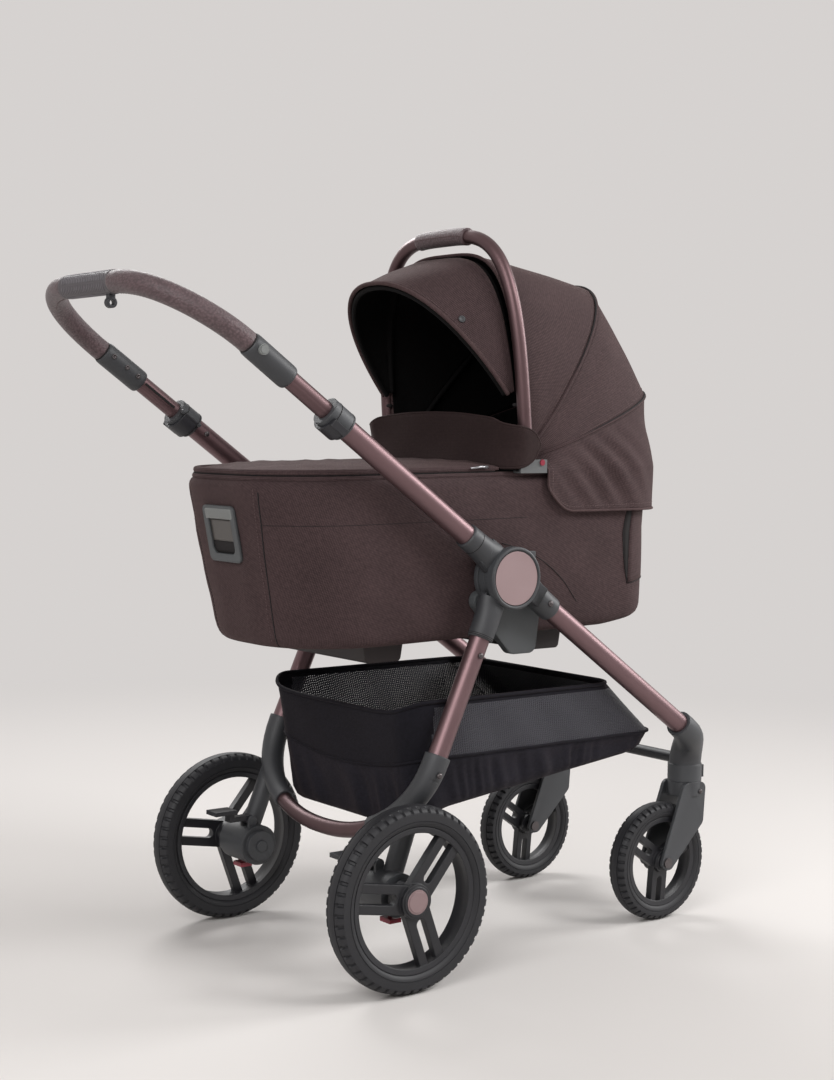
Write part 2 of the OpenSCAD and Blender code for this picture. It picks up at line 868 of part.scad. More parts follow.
module tyre(r, w, depth) {
    crown = [for (i = [-6 : 6]) [r - 0.17 * w * pow(i / 6, 2), i / 6 * (w / 2 - 1.5)]];
    bead = r - depth;
    sides = concat([[bead, 3 - w / 2], [bead + 5, -w / 2], [r - 0.24 * w, -w / 2]], crown,
        [[r - 0.24 * w, w / 2], [bead + 5, w / 2], [bead, w / 2 - 3]]);
    difference() {
        rotate_extrude() polygon(sides);
        for (z = [-0.22 * w, 0.22 * w])
            rotate_extrude() translate([r - 3.5, z - 1]) square([5, 2]);
    }
}

// A rim with three double spokes round a hub
module rim(r, w, bore_r, hub_rr, turn, spoke_w, slot) {
    edge = r - seat;
    face = w / 2 - 7;
    spoke_t = 13;
    slot_start = hub_rr + 14;
    difference() {
        union() {
            rotate_extrude() polygon([
                [edge - 9, -w / 2 + 5], [edge, -w / 2 + 3.5], [edge, w / 2 - 3.5],
                [edge - 9, w / 2 - 5], [edge - 6, 0]
            ]);
            translate([0, 0, 4 - w / 2]) cylinder(h = w - 4, r = hub_rr);
            cylinder(h = w / 2 + 2, r = hub_rr - 4);
            translate([0, 0, face - spoke_t]) linear_extrude(spoke_t) intersection() {
                difference() {
                    for (i = [0 : 2]) rotate(turn + 120 * i)
                        translate([0, -spoke_w / 2]) square([edge, spoke_w]);
                    for (i = [0 : 2]) rotate(turn + 120 * i) {
                        translate([slot_start, -slot / 2]) square([edge, slot]);
                        translate([slot_start, 0]) circle(slot / 2);
                    }
                }
                circle(edge - 3);
            }
        }
        translate([0, 0, -w]) cylinder(h = 2 * w, r = bore_r);
        translate([0, 0, w / 2 - 1]) cylinder(h = 10, r = hub_rr - 8);
    }
}

module at_rear_wheel(side) {
    on_side(side) translate([0, rear_y, rear_r]) rotate([-90, 0, 0]) children();
}

module at_front_wheel(side) {
    on_side(side) translate([wheelbase, caster_y, front_r]) rotate([-90, 0, 0]) children();
}

module rear_tyre(side) {
    color(black) in_frame() at_rear_wheel(side) tyre(rear_r, rear_tyre_w, tyre_depth);
}

module rear_rim(side) {
    color(black) in_frame() at_rear_wheel(side)
        rim(rear_r - tyre_depth, rear_tyre_w, rear_axle_d / 2 + run, rear_hub_r, rear_spoke_turn,
            rear_spoke_w, rear_spoke_slot);
}

module rear_hub_cap(side) {
    color("#8d6a63") in_frame() at_rear_wheel(side)
        translate([0, 0, rear_tyre_w / 2 - 1 + seat]) {
            cylinder(h = 3.5, r = rear_hub_r - 8 - seat);
            cylinder(h = 4.5, r = rear_hub_r - 11);
        }
}

module front_tyre(side) {
    color(black) in_frame() at_front_wheel(side) tyre(front_r, front_tyre_w, front_depth);
}

module front_rim(side) {
    color(black) in_frame() at_front_wheel(side)
        rim(front_r - front_depth, front_tyre_w, front_axle_d / 2 + run, front_hub_r, front_spoke_turn,
            front_spoke_w, front_spoke_slot);
}

module rear_tyre_left() { rear_tyre(1); }

module rear_tyre_right() { rear_tyre(-1); }

module rear_rim_left() { rear_rim(1); }

module rear_rim_right() { rear_rim(-1); }

module rear_hub_cap_left() { rear_hub_cap(1); }

module rear_hub_cap_right() { rear_hub_cap(-1); }

module front_tyre_left() { front_tyre(1); }

module front_tyre_right() { front_tyre(-1); }

module front_rim_left() { front_rim(1); }

module front_rim_right() { front_rim(-1); }

// Front casters

module caster_fork(side) {
    color(charcoal) in_frame() on_side(side) difference() {
        union() {
            translate([caster_x, caster_y, crown_z]) cylinder(h = elbow_z - gap - crown_z, r = collar_r);
            translate([caster_x, caster_y, crown_z]) cylinder(h = stem_top - crown_z, r = stem_r);
            for (y = [caster_y - fork_in - fork_t, caster_y + fork_in])
                corner_plate([[caster_x + 12, crown_z + 12], [caster_x - 18, crown_z + 12],
                    [caster_x + 8, crown_z - 42], [wheelbase, front_r], [wheelbase + 4, front_r]],
                    13, y, y + fork_t);
        }
        bar_y(wheelbase, front_r, 0, 2 * caster_y, front_axle_d / 2 + seat);
    }
}

module front_axle(side) {
    reach = fork_in + fork_t;
    color(grey) in_frame() on_side(side) {
        bar_y(wheelbase, front_r, caster_y - reach, caster_y + reach, front_axle_d / 2);
        for (y = [caster_y - reach - 3, caster_y + reach]) bar_y(wheelbase, front_r, y, y + 3, 9);
    }
}

// A sliding tab on the front of the elbow that stops the swivel
module swivel_lock(side) {
    color(black) in_frame() on_side(side) difference() {
        translate([caster_x + collar_r - 8, caster_y - 12, elbow_z + 3]) cube([14, 24, 22]);
        translate([caster_x, caster_y, elbow_z]) cylinder(h = 40, r = collar_r + gap);
    }
}

module caster_fork_left() { caster_fork(1); }

module caster_fork_right() { caster_fork(-1); }

module front_axle_left() { front_axle(1); }

module front_axle_right() { front_axle(-1); }

module swivel_lock_left() { swivel_lock(1); }

module swivel_lock_right() { swivel_lock(-1); }

// Bassinet

function tub_side(level) = rim_half - side_lean * (1 - level);

// Outline of the tub at a level from 0 at its floor to 1 at its rim, drawn in by inset
function tub_outline(inset, level) =
    let (
        foot = foot_x + foot_lean * (1 - level) + inset,
        head = head_x - head_lean * (1 - level) - inset,
        half = tub_side(level) - inset,
        rf = max(foot_corner - inset, 8),
        rh = max(head_corner - inset, 8),
        steps = 7
    )
    flat([
        for (c = [[head - rh, rh - half, -90, rh], [head - rh, half - rh, 0, rh],
            [foot + rf, half - rf, 90, rf], [foot + rf, rf - half, 180, rf]])
            [
                for (i = [0 : steps])
                    let (a = c[2] + 90 * i / steps)
                    [c[0] + c[3] * cos(a), c[1] + c[3] * sin(a)]
            ]
    ]);

function rim_height(x) = rim_z + rim_rise * (x - foot_x) / (head_x - foot_x);

function underside(x) = tub_z - foot_drop * (head_x - x) / (head_x - foot_x);

function tub_ring(inset, level, low = 0) = [
    for (p = tub_outline(inset, level)) [p[0], p[1], mix(underside(p[0]) - low, rim_height(p[0]), level)]
];

// A level ring at height z above the floor of the tub
function flat_ring(inset, z) = [for (p = tub_outline(inset, z / tub_h)) [p[0], p[1], tub_z + z]];

// Outside of the tub, or a skin that stands clear of it
function tub_skin(clear) = concat(
    [tub_ring(16 - clear, 0, clear), tub_ring(5 - clear, 5 / tub_h, clear), tub_ring(-clear, 18 / tub_h)],
    [for (level = [0.35, 0.7, 0.96]) tub_ring(-clear, level)],
    [tub_ring(2 - clear, 0.99), tub_ring(5 - clear, 1)]
);

module bassinet_tub() {
    inner = concat(
        [tub_ring(tub_wall - 3, 1), tub_ring(tub_wall, 0.98), tub_ring(tub_wall, 0.4)],
        [flat_ring(tub_wall, floor_t + 14), flat_ring(tub_wall + 10, floor_t)]
    );
    color(cloth) in_frame() loft(concat(tub_skin(0), inner));
}

module bassinet_adaptors() {
    low = receiver_low + tongue_rest + gap;
    outer = receiver_in + 12 - gap;
    color(charcoal) in_frame() on_both() difference() {
        union() {
            translate([tongue_x - tongue_w / 2 + gap, receiver_in + 3 + gap, low])
                cube([tongue_w - 2 * gap, 9 - 2 * gap, receiver_top + 20 - low]);
            translate([tongue_x - adaptor_w / 2, receiver_in - adaptor_reach, receiver_top + gap])
                cube([adaptor_w, outer - receiver_in + adaptor_reach, adaptor_h]);
        }
        loft(tub_skin(gap));
    }
}

// Two skids across the underside
skid_inset = 46;
skid_foot = 233;
skid_head = 224;
skid_half = 27;
skid_deep = 33;

module bassinet_feet() {
    half = tub_side(0) - skid_inset;
    color(black) in_frame() for (x = [foot_x + skid_foot, head_x - skid_head]) difference() {
        corner_plate([
            [x - skid_half, tub_z - skid_deep], [x + skid_half, tub_z - skid_deep],
            [x - skid_half - 9, tub_z + 20], [x + skid_half + 9, tub_z + 20]
        ], 8, -half, half);
        loft(tub_skin(gap));
    }
}

// A moulded frame that follows the lean of the foot end
module end_bezel() {
    wide = 92;
    tall = 90;
    border = 13;
    proud = 5;
    level = 0.65;
    lean = atan(foot_lean / tub_h);
    color(black) in_frame() difference() {
        translate([foot_x + foot_lean * (1 - level), 0, tub_z + tub_h * level]) rotate([0, -lean, 0])
            difference() {
                end_plate(wide, tall, proud);
                end_plate(wide - 2 * border, tall - 2 * border, proud + 1);
            }
        loft(tub_skin(gap));
    }
}

// A plate with round corners across the foot end
module end_plate(wide, tall, proud) {
    r = 10;
    y = wide / 2 - r;
    z = tall / 2 - r;
    rotate([0, 0, 90]) corner_plate([[-y, -z], [y, -z], [-y, z], [y, z]], r, -20, proud);
}

module mattress() {
    base = floor_t + gap;
    wall = tub_wall + 3;
    color("#c9c2bc") in_frame() loft([
        flat_ring(wall + 16, base), flat_ring(wall + 4, base + 5), flat_ring(wall, base + mattress_h * 0.3),
        flat_ring(wall, base + mattress_h * 0.65), flat_ring(wall + 9, base + mattress_h * 0.86),
        flat_ring(wall + 40, base + mattress_h * 0.96), flat_ring(wall + 100, base + mattress_h)
    ]);
}

// Half width of the rim at x, round the foot corners
function rim_half_at(x) =
    let (d = foot_x + foot_corner - x)
    d > 0 ? rim_half - foot_corner + sqrt(max(pow(foot_corner, 2) - d * d, 0)) : rim_half;

apron_crown = 14;
apron_t = 5;

// The cover zipped to the rim over the foot end
module apron() {
    rows = 12;
    cols = 10;
    start = foot_x + 3;
    function across(x, j) = (rim_half_at(x) - 3) * (2 * j / cols - 1);
    function crown(x, j) =
        apron_crown * (1 - pow(2 * j / cols - 1, 4)) * min(1, (x - start) / 120);
    xs = [for (i = [0 : rows]) start + (apron_x - start) * pow(i / rows, 1.6)];
    function skin(rise) = [
        for (x = xs) [for (j = [0 : cols]) [x, across(x, j), rim_height(x) + gap + rise + crown(x, j)]]
    ];
    color(cloth) in_frame() slab(skin(apron_t), skin(0));
}

// The flap stands at the apron's edge and wraps round the feet of the carry bow
function flap_outline(v) =
    let (a = abs(v), turn = max(0, a - 0.78) / 0.22)
    [flap_x + 2 * a + flap_wrap * pow(turn, 1.3), sign(v) * flap_half * min(1, a / 0.86 * (1 - 0.08 * turn))];

flap_half = rim_half + 7;
flap_base = rim_height(apron_x) + 9;
flap_wrap = 58;
flap_lift = 22;
flap_fall = 46;

module wind_flap() {
    cols = 20;
    rows = 4;
    reach = 0.97;
    function low(v) = flap_base + flap_lift * pow(max(0, abs(v) - 0.6) / 0.4, 1.2);
    function high(v) = flap_base + flap_h - flap_fall * pow(max(0, abs(v) - 0.55) / 0.45, 2.5);
    function shape(t) = [
        for (i = [0 : rows]) [
            for (j = [0 : cols])
                let (
                    v = (2 * j / cols - 1) * reach,
                    p = flap_outline(v),
                    q = flap_outline(v + 0.02) - flap_outline(v - 0.02),
                    n = unit([q[1], -q[0]])
                )
                [p[0] + n[0] * t, p[1] + n[1] * t, mix(low(v), high(v), i / rows)]
        ]
    ];
    color(dark_cloth) in_frame() slab(shape(-flap_t / 2), shape(flap_t / 2));
}

// Hood

plate_in = bow_half + bow_d / 2 + gap;
plate_out = rim_half + 9;
button_x = pivot_x + 19;
button_pin_r = 5;
pivot_front = 30;
pivot_back = 26;

module hood_pivot() {
    base = rim_height(pivot_x + pivot_front) + gap;
    difference() {
        union() {
            translate([pivot_x - pivot_back, rim_half - 11, base])
                cube([pivot_back + pivot_front, plate_out - rim_half + 11, 4]);
            translate([pivot_x - pivot_back, plate_in, base])
                cube([pivot_back + pivot_front, plate_out - plate_in, 22]);
            bar_y(pivot_x, pivot_z, hood_half - 25, plate_out, hood_pin_r);
        }
        bar_y(button_x, pivot_z, plate_in - 1, plate_out + 1, button_pin_r + run);
    }
}

module hood_pivots() {
    color("#b9bdba") in_frame() on_both() hood_pivot();
}

module hood_button(side) {
    color(red) in_frame() on_side(side) bar_y(button_x, pivot_z, plate_in, plate_out + 2, button_pin_r);
}

module hood_button_left() { hood_button(1); }

module hood_button_right() { hood_button(-1); }

// Turn along a hoop whose ends lie at reach start from its pivot; u runs from 0 to 1
function arch_turn(u, r, power, start) =
    let (first = asin(pow(start / r, power / 2)))
    first + (180 - 2 * first) * (u - 0.09 * sin(360 * u));

function arch_point(seam, start, u) =
    let (
        f = arch_turn(u, seam[1], seam[3], start),
        reach = seam[1] * pow(sin(f), 2 / seam[3]),
        side = seam[2] * sign(cos(f)) * pow(abs(cos(f)), 2 / seam[3])
    )
    [seam[4][0] + reach * cos(seam[0]), side, seam[4][1] + reach * sin(seam[0])];

hood_pivot_at = [pivot_x, pivot_z];
visor_pivot_at = hood_pivot_at + visor_up * [cos(bow_angle), sin(bow_angle)]
    + visor_ahead * [-sin(bow_angle), cos(bow_angle)];

// Each hoop of the hood: angle, reach, half width, squareness and pivot
brim_seam = [brim_angle, brim_r, brim_half, 2.25, visor_pivot_at];
crown_seam = [bow_angle, crown_r, hood_half, 3.65, hood_pivot_at];
rear_seam = [rear_hoop_angle, rear_hoop_r, seam_half, 2.5, hood_pivot_at];
skirt_seam = [skirt_seam_angle, skirt_seam_r, skirt_half, 3.2, hood_pivot_at];
bow_line = [bow_angle, bow_r, bow_half, 3.65, hood_pivot_at];

function drawn_in(seam, inset) = [seam[0], seam[1] - inset, seam[2] - inset, seam[3], seam[4]];

// Swell of a panel between its seams
function swell(p, u, t, height) =
    p + height * sin(180 * t) * sqrt(sin(180 * u)) * unit([p[0] - pivot_x, p[1], p[2] - pivot_z]);

// One stretched cloth panel between two seams
module hood_panel(from, to, rows, height, from_start = panel_start, to_start = panel_start) {
    edge = 0.004;
    function grid(inset) = [
        for (i = [0 : rows]) [
            for (j = [0 : arch_steps])
                let (u = j / arch_steps, t = mix(edge, 1 - edge, i / rows))
                swell(mix(arch_point(drawn_in(from, inset), from_start, u),
                    arch_point(drawn_in(to, inset), to_start, u), t), u, t, height)
        ]
    ];
    slab(grid(cloth_t), grid(0));
}

// A round tube along a seam, from foot to foot
module bent_tube(seam, tube_r, sides) {
    path = [for (j = [0 : arch_steps]) arch_point(seam, eye_start, j / arch_steps)];
    sweep(path, [for (p = path) tube_r], [sin(seam[0]), 0, -cos(seam[0])], sides);
}

// A tube bent along a seam, with an eye round the pin at each foot
module hoop(seam, tube_r, sides, eye, eye_w) {
    difference() {
        union() {
            bent_tube(seam, tube_r, sides);
            on_both() bar_y(seam[4][0], seam[4][1], seam[2] - eye_w / 2, seam[2] + eye_w / 2, eye);
        }
        bar_y(seam[4][0], seam[4][1], -2 * seam[2], 2 * seam[2], hood_pin_r + run);
    }
}

module hood_rear_panel() {
    color(cloth) in_frame() hood_panel(rear_seam, skirt_seam, 3, 3);
}

// The main panel with the rear hoop sewn into its seam
module hood_main_panel() {
    color(cloth) in_frame() {
        hood_panel(crown_seam, rear_seam, 4, 3);
        hoop(drawn_in(rear_seam, hoop_inset), hoop_r, 8, eye_r, 6);
    }
}

// The bow carries a pin on each inner side for the visor's hoop
module carry_bow() {
    pin_in = brim_half - brim_inset - 6;
    color(bronze) in_frame() {
        hoop(bow_line, bow_d / 2, bow_sides, eye_r + 3, 14);
        on_both() bar_y(visor_pivot_at[0], visor_pivot_at[1], pin_in, bow_half, hood_pin_r);
    }
}

// The padded grip wrapped round the top of the bow
module bow_grip() {
    steps = 10;
    path = [
        for (i = [0 : steps])
            let (
                y = mix(-bow_grip_half, bow_grip_half, i / steps),
                power = bow_line[3],
                reach = bow_r * pow(1 - pow(abs(y) / bow_half, power), 1 / power)
            )
            [pivot_x + reach * cos(bow_angle), y, pivot_z + reach * sin(bow_angle)]
    ];
    color(leather) in_frame() difference() {
        sweep(path, [for (p = path) bow_grip_r], [sin(bow_angle), 0, -cos(bow_angle)], 12);
        bent_tube(bow_line, bow_d / 2 + seat, bow_sides);
    }
}

// The visor with its brim hoop sewn in
module visor() {
    color(cloth) in_frame() {
        hood_panel(brim_seam, crown_seam, 3, 2, panel_start, visor_up + panel_start);
        hoop(drawn_in(brim_seam, brim_inset), hoop_r, 8, eye_r, 6);
    }
}

// Skirt: from its seam down outside the rim to the hem
skirt_clear = 5;
skirt_start = 28;

function skirt_hem(u, inset) =
    let (
        front = pivot_x + pivot_front + skirt_clear,
        head = head_x + skirt_flare - inset,
        half = rim_half + 8 - inset,
        r = head_corner + skirt_flare * 0.5,
        side = head - r - front,
        turn = r * PI / 2,
        total = 2 * (side + turn + half - r),
        m = min(u, 1 - u) * total,
        s = u <= 0.5 ? 1 : -1,
        a = (m - side) / turn * 90
    )
    m < side ? [front + m, s * half]
    : m < side + turn ? [head - r + r * sin(a), s * (half - r + r * cos(a))]
    : [head, s * (half - r - (m - side - turn))];

function skirt_hem_z(u) = skirt_z + 40 * pow(max(0, 1 - min(u, 1 - u) / 0.06), 2);

// Soft slanting folds of the hanging cloth
function skirt_fold(u, t) = 2.5 * sin(1440 * min(u, 1 - u) + 160 * t) * sin(180 * t) * sin(180 * u);

module hood_skirt() {
    rows = 6;
    cols = 28;
    function grid(inset) = [
        for (i = [0 : rows]) [
            for (j = [0 : cols])
                let (
                    u = j / cols,
                    a = arch_point(drawn_in(skirt_seam, inset), skirt_start, u),
                    h = skirt_hem(u, inset - skirt_fold(u, i / rows)),
                    t = mix(0.008, 1, i / rows),
                    z = mix(a[2], skirt_hem_z(u), t),
                    clear_z = rim_height(h[0]) + 6,
                    out = min(1, (a[2] - z) / max(a[2] - clear_z, 8))
                )
                [mix(a[0], h[0], out), mix(a[1], h[1], out), z]
        ]
    ];
    color(cloth) in_frame() slab(grid(cloth_t), grid(0));
}

// Drawing

front_leg_tubes();
hub_housings();
hub_covers();
fold_pivot_pins();
front_elbows();
front_crossbar();
bassinet_receivers();
storage_basket();
handle_knuckles();
handle_tubes();
clamp_collars();
clamp_lever_left();
clamp_lever_right();
handle_inner_tubes();
handle_sleeves();
handlebar_grip();
centre_grip();
strap_loop();
handle_button_left();
handle_button_right();
rear_leg_fittings();
rear_leg_tubes();
rear_cross_tube();
rear_axles();
brake_pedal_left();
brake_pedal_right();
wheel_release_left();
wheel_release_right();
rear_tyre_left();
rear_tyre_right();
rear_rim_left();
rear_rim_right();
rear_hub_cap_left();
rear_hub_cap_right();
caster_fork_left();
caster_fork_right();
front_axle_left();
front_axle_right();
front_tyre_left();
front_tyre_right();
front_rim_left();
front_rim_right();
swivel_lock_left();
swivel_lock_right();
bassinet_tub();
bassinet_adaptors();
bassinet_feet();
end_bezel();
mattress();
apron();
wind_flap();
hood_pivots();
hood_button_left();
hood_button_right();
hood_skirt();
hood_rear_panel();
hood_main_panel();
carry_bow();
bow_grip();
visor();
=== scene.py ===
# Bassinet pram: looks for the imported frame. Metres; X runs forward, Y to the left, Z up.

import json
import math

import bpy
import numpy as np
from mathutils import Matrix, Vector


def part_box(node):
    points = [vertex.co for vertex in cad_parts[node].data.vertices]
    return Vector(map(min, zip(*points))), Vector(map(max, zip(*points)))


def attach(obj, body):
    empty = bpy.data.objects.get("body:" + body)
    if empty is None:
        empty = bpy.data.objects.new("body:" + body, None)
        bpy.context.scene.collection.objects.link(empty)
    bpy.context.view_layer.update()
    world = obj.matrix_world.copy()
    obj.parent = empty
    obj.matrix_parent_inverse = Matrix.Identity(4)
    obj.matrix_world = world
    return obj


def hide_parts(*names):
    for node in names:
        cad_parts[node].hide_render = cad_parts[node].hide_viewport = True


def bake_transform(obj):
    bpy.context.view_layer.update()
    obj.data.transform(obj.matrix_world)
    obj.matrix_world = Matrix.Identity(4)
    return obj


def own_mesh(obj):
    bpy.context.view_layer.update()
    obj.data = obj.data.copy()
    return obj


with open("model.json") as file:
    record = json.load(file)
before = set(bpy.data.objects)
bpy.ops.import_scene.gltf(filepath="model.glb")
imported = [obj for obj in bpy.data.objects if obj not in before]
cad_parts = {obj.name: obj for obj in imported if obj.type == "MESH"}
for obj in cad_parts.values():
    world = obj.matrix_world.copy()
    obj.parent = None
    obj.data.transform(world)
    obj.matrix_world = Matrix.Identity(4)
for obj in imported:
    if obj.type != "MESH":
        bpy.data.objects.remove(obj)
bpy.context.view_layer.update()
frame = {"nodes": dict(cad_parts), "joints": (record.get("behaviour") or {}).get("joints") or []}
nodes = frame["nodes"]
joints = {j["name"]: j for j in frame["joints"]}
SIDES = (("left", 1), ("right", -1))


# Materials

WEAVE = "weave"


def linear(colour):
    """A hex colour, as it looks in plain light, as linear RGBA."""
    values = [int(colour[i : i + 2], 16) / 255 for i in (1, 3, 5)]
    return (*[v / 12.92 if v <= 0.04045 else ((v + 0.055) / 1.055) ** 2.4 for v in values], 1.0)


def node(tree, kind, inputs=None, **settings):
    """A shader node; an input is a value or the socket that feeds it."""
    made = tree.nodes.new("ShaderNode" + kind)
    for key, value in settings.items():
        setattr(made, key, value)
    for key, value in (inputs or {}).items():
        if isinstance(value, bpy.types.NodeSocket):
            tree.links.new(value, made.inputs[key])
        else:
            made.inputs[key].default_value = value
    return made


def calc(tree, operation, a, b):
    return node(tree, "Math", {0: a, 1: b}, operation=operation).outputs[0]


def mixed(tree, factor, first, second):
    """The first colour where factor is 0 and the second where it is 1."""
    colours = {0: factor, 6: linear(first), 7: linear(second)}
    return node(tree, "Mix", colours, data_type="RGBA").outputs[2]


def start(name, **sockets):
    """A new material with constants set on its shader; returns (material, tree, shader)."""
    material = bpy.data.materials.new(name)
    material.use_nodes = True
    shader = material.node_tree.nodes["Principled BSDF"]
    for key, value in sockets.items():
        shader.inputs[key.replace("_", " ")].default_value = value
    return material, material.node_tree, shader


def weave_place(tree):
    return node(tree, "UVMap", uv_map=WEAVE).outputs["UV"]


def noise(tree, vector, scale, detail):
    made = node(tree, "TexNoise", {"Vector": vector, "Scale": scale, "Detail": detail})
    return made.outputs["Fac"]


def spread(tree, value, low, high):
    """A 0 to 1 value mapped to the range low to high."""
    made = node(tree, "MapRange", {"Value": value, "To Min": low, "To Max": high})
    return made.outputs["Result"]


def feed(tree, shader, **links):
    for key, socket in links.items():
        tree.links.new(socket, shader.inputs[key.replace("_", " ")])


def bumped(tree, shader, height, depth, strength, rounding=0.0):
    """Fine relief, on edges that are shaded as if rounded."""
    made = node(tree, "Bump", {"Height": height, "Distance": depth, "Strength": strength})
    if rounding:
        eased = node(tree, "Bevel", {"Radius": rounding}, samples=4)
        tree.links.new(eased.outputs["Normal"], made.inputs["Normal"])
    feed(tree, shader, Normal=made.outputs["Normal"])


def bands(tree, vector, pitch, direction, wobble=0.4):
    """Sine bands of one pitch, in metres, across the weave."""
    scale = math.pi / (10 * pitch)
    inputs = {"Vector": vector, "Scale": scale, "Distortion": wobble, "Detail": 1.0}
    return node(tree, "TexWave", inputs, bands_direction=direction).outputs["Fac"]


def woven(name, dark, light, pitch, sheen, slant=0.0, contrast=0.7):
    """Cloth of warp and weft yarns with uneven shade."""
    material, tree, shader = start(
        name,
        Roughness=0.88,
        Sheen_Weight=sheen,
        Sheen_Roughness=0.45,
        Sheen_Tint=linear("#8f7671"),
        Specular_IOR_Level=0.2,
    )
    uv = weave_place(tree)
    slanted = node(tree, "Mapping", {"Vector": uv, "Rotation": (0, 0, slant)}).outputs["Vector"]
    warp = bands(tree, slanted, pitch, "X")
    weft = bands(tree, slanted, pitch * 1.6, "Y")
    yarns = calc(tree, "MULTIPLY", warp, spread(tree, weft, 0.55, 1.0))
    slub = noise(tree, uv, 160.0, 3.0)
    cloud = noise(tree, uv, 14.0, 2.0)
    shade = calc(tree, "MULTIPLY", yarns, contrast)
    shade = calc(tree, "ADD", shade, spread(tree, slub, -0.25, 0.45))
    shade = calc(tree, "ADD", shade, spread(tree, cloud, -0.18, 0.18))
    feed(tree, shader, Base_Color=mixed(tree, shade, dark, light))
    relief = calc(tree, "ADD", yarns, spread(tree, slub, 0.0, 0.5))
    bumped(tree, shader, relief, pitch * 0.22, 0.7)
    return material


def meshed(name, dark, light, pitch):
    """Open knitted net: paler threads round gaps that are dark at the edge and clear inside."""
    material, tree, shader = start(name, Roughness=0.8, Sheen_Weight=0.2)
    uv = weave_place(tree)
    across, down = (bands(tree, uv, pitch, way, 0.15) for way in "XY")
    gaps = calc(tree, "MULTIPLY", across, down)
    feed(tree, shader, Base_Color=mixed(tree, gaps, light, dark))
    bumped(tree, shader, calc(tree, "SUBTRACT", 1.0, gaps), pitch * 0.3, 0.8)
    feed(tree, shader, Alpha=calc(tree, "LESS_THAN", gaps, 0.7))
    return material


def grained(name, dark, light, cell):
    """Leatherette with a pressed grain."""
    material, tree, shader = start(name, Sheen_Weight=0.15, Coat_Weight=0.08, Coat_Roughness=0.4)
    uv = weave_place(tree)
    cells = node(tree, "TexVoronoi", {"Vector": uv, "Scale": 1 / cell}).outputs["Distance"]
    worn = noise(tree, uv, 30.0, 3.0)
    shade = calc(tree, "SUBTRACT", spread(tree, worn, 0.4, 1.1), cells)
    feed(tree, shader, Base_Color=mixed(tree, shade, dark, light))
    feed(tree, shader, Roughness=spread(tree, worn, 0.48, 0.66))
    bumped(tree, shader, calc(tree, "SUBTRACT", 1.0, cells), cell * 0.28, 0.8)
    return material


def hard(name, colour, pale, rough, cloud, fine, wear, relief, rounding, **sockets):
    """Hard stuff with a cloudy shade, pale rubbed edges and a fine relief.

    rough is a range of roughness, cloud a noise scale and a range of shade, fine a noise scale and
    detail, wear how sharp a fully rubbed edge is and its share, relief a depth and a strength.
    """
    material, tree, shader = start(name, **sockets)
    place = node(tree, "TexCoord").outputs["Object"]
    clouds = noise(tree, place, cloud[0], 3.0)
    edge = node(tree, "NewGeometry").outputs["Pointiness"]
    rubbed = node(tree, "MapRange", {"Value": edge, "From Min": 0.52, "From Max": wear[0]})
    shade = calc(tree, "MULTIPLY", rubbed.outputs["Result"], wear[1])
    shade = calc(tree, "ADD", shade, spread(tree, clouds, *cloud[1:]))
    feed(tree, shader, Base_Color=mixed(tree, shade, colour, pale))
    feed(tree, shader, Roughness=spread(tree, clouds, *rough))
    bumped(tree, shader, noise(tree, place, *fine), *relief, rounding)
    return material


def painted(name, colour, pale, metallic=0.85, roughness=0.42, rounding=0.0012):
    """Satin metallic paint, a little paler on its edges."""
    rough, cloud = (roughness - 0.05, roughness + 0.07), (22.0, -0.05, 0.18)
    fine, wear, relief = (1400.0, 1.0), (0.62, 0.6), (0.00002, 0.25)
    sockets = {"Metallic": metallic, "Coat_Weight": 0.06, "Coat_Roughness": 0.35}
    return hard(name, colour, pale, rough, cloud, fine, wear, relief, rounding, **sockets)


def moulded(name, colour, pale, roughness=0.5, grain=0.0009, metallic=0.0, rounding=0.0):
    """Moulded plastic or rubber with a fine spark-eroded grain and rubbed edges."""
    rough, cloud = (roughness - 0.06, roughness + 0.08), (16.0, -0.08, 0.22)
    fine, wear, relief = (1 / grain, 2.0), (0.64, 0.5), (grain * 0.12, 0.6)
    return hard(name, colour, pale, rough, cloud, fine, wear, relief, rounding, Metallic=metallic)


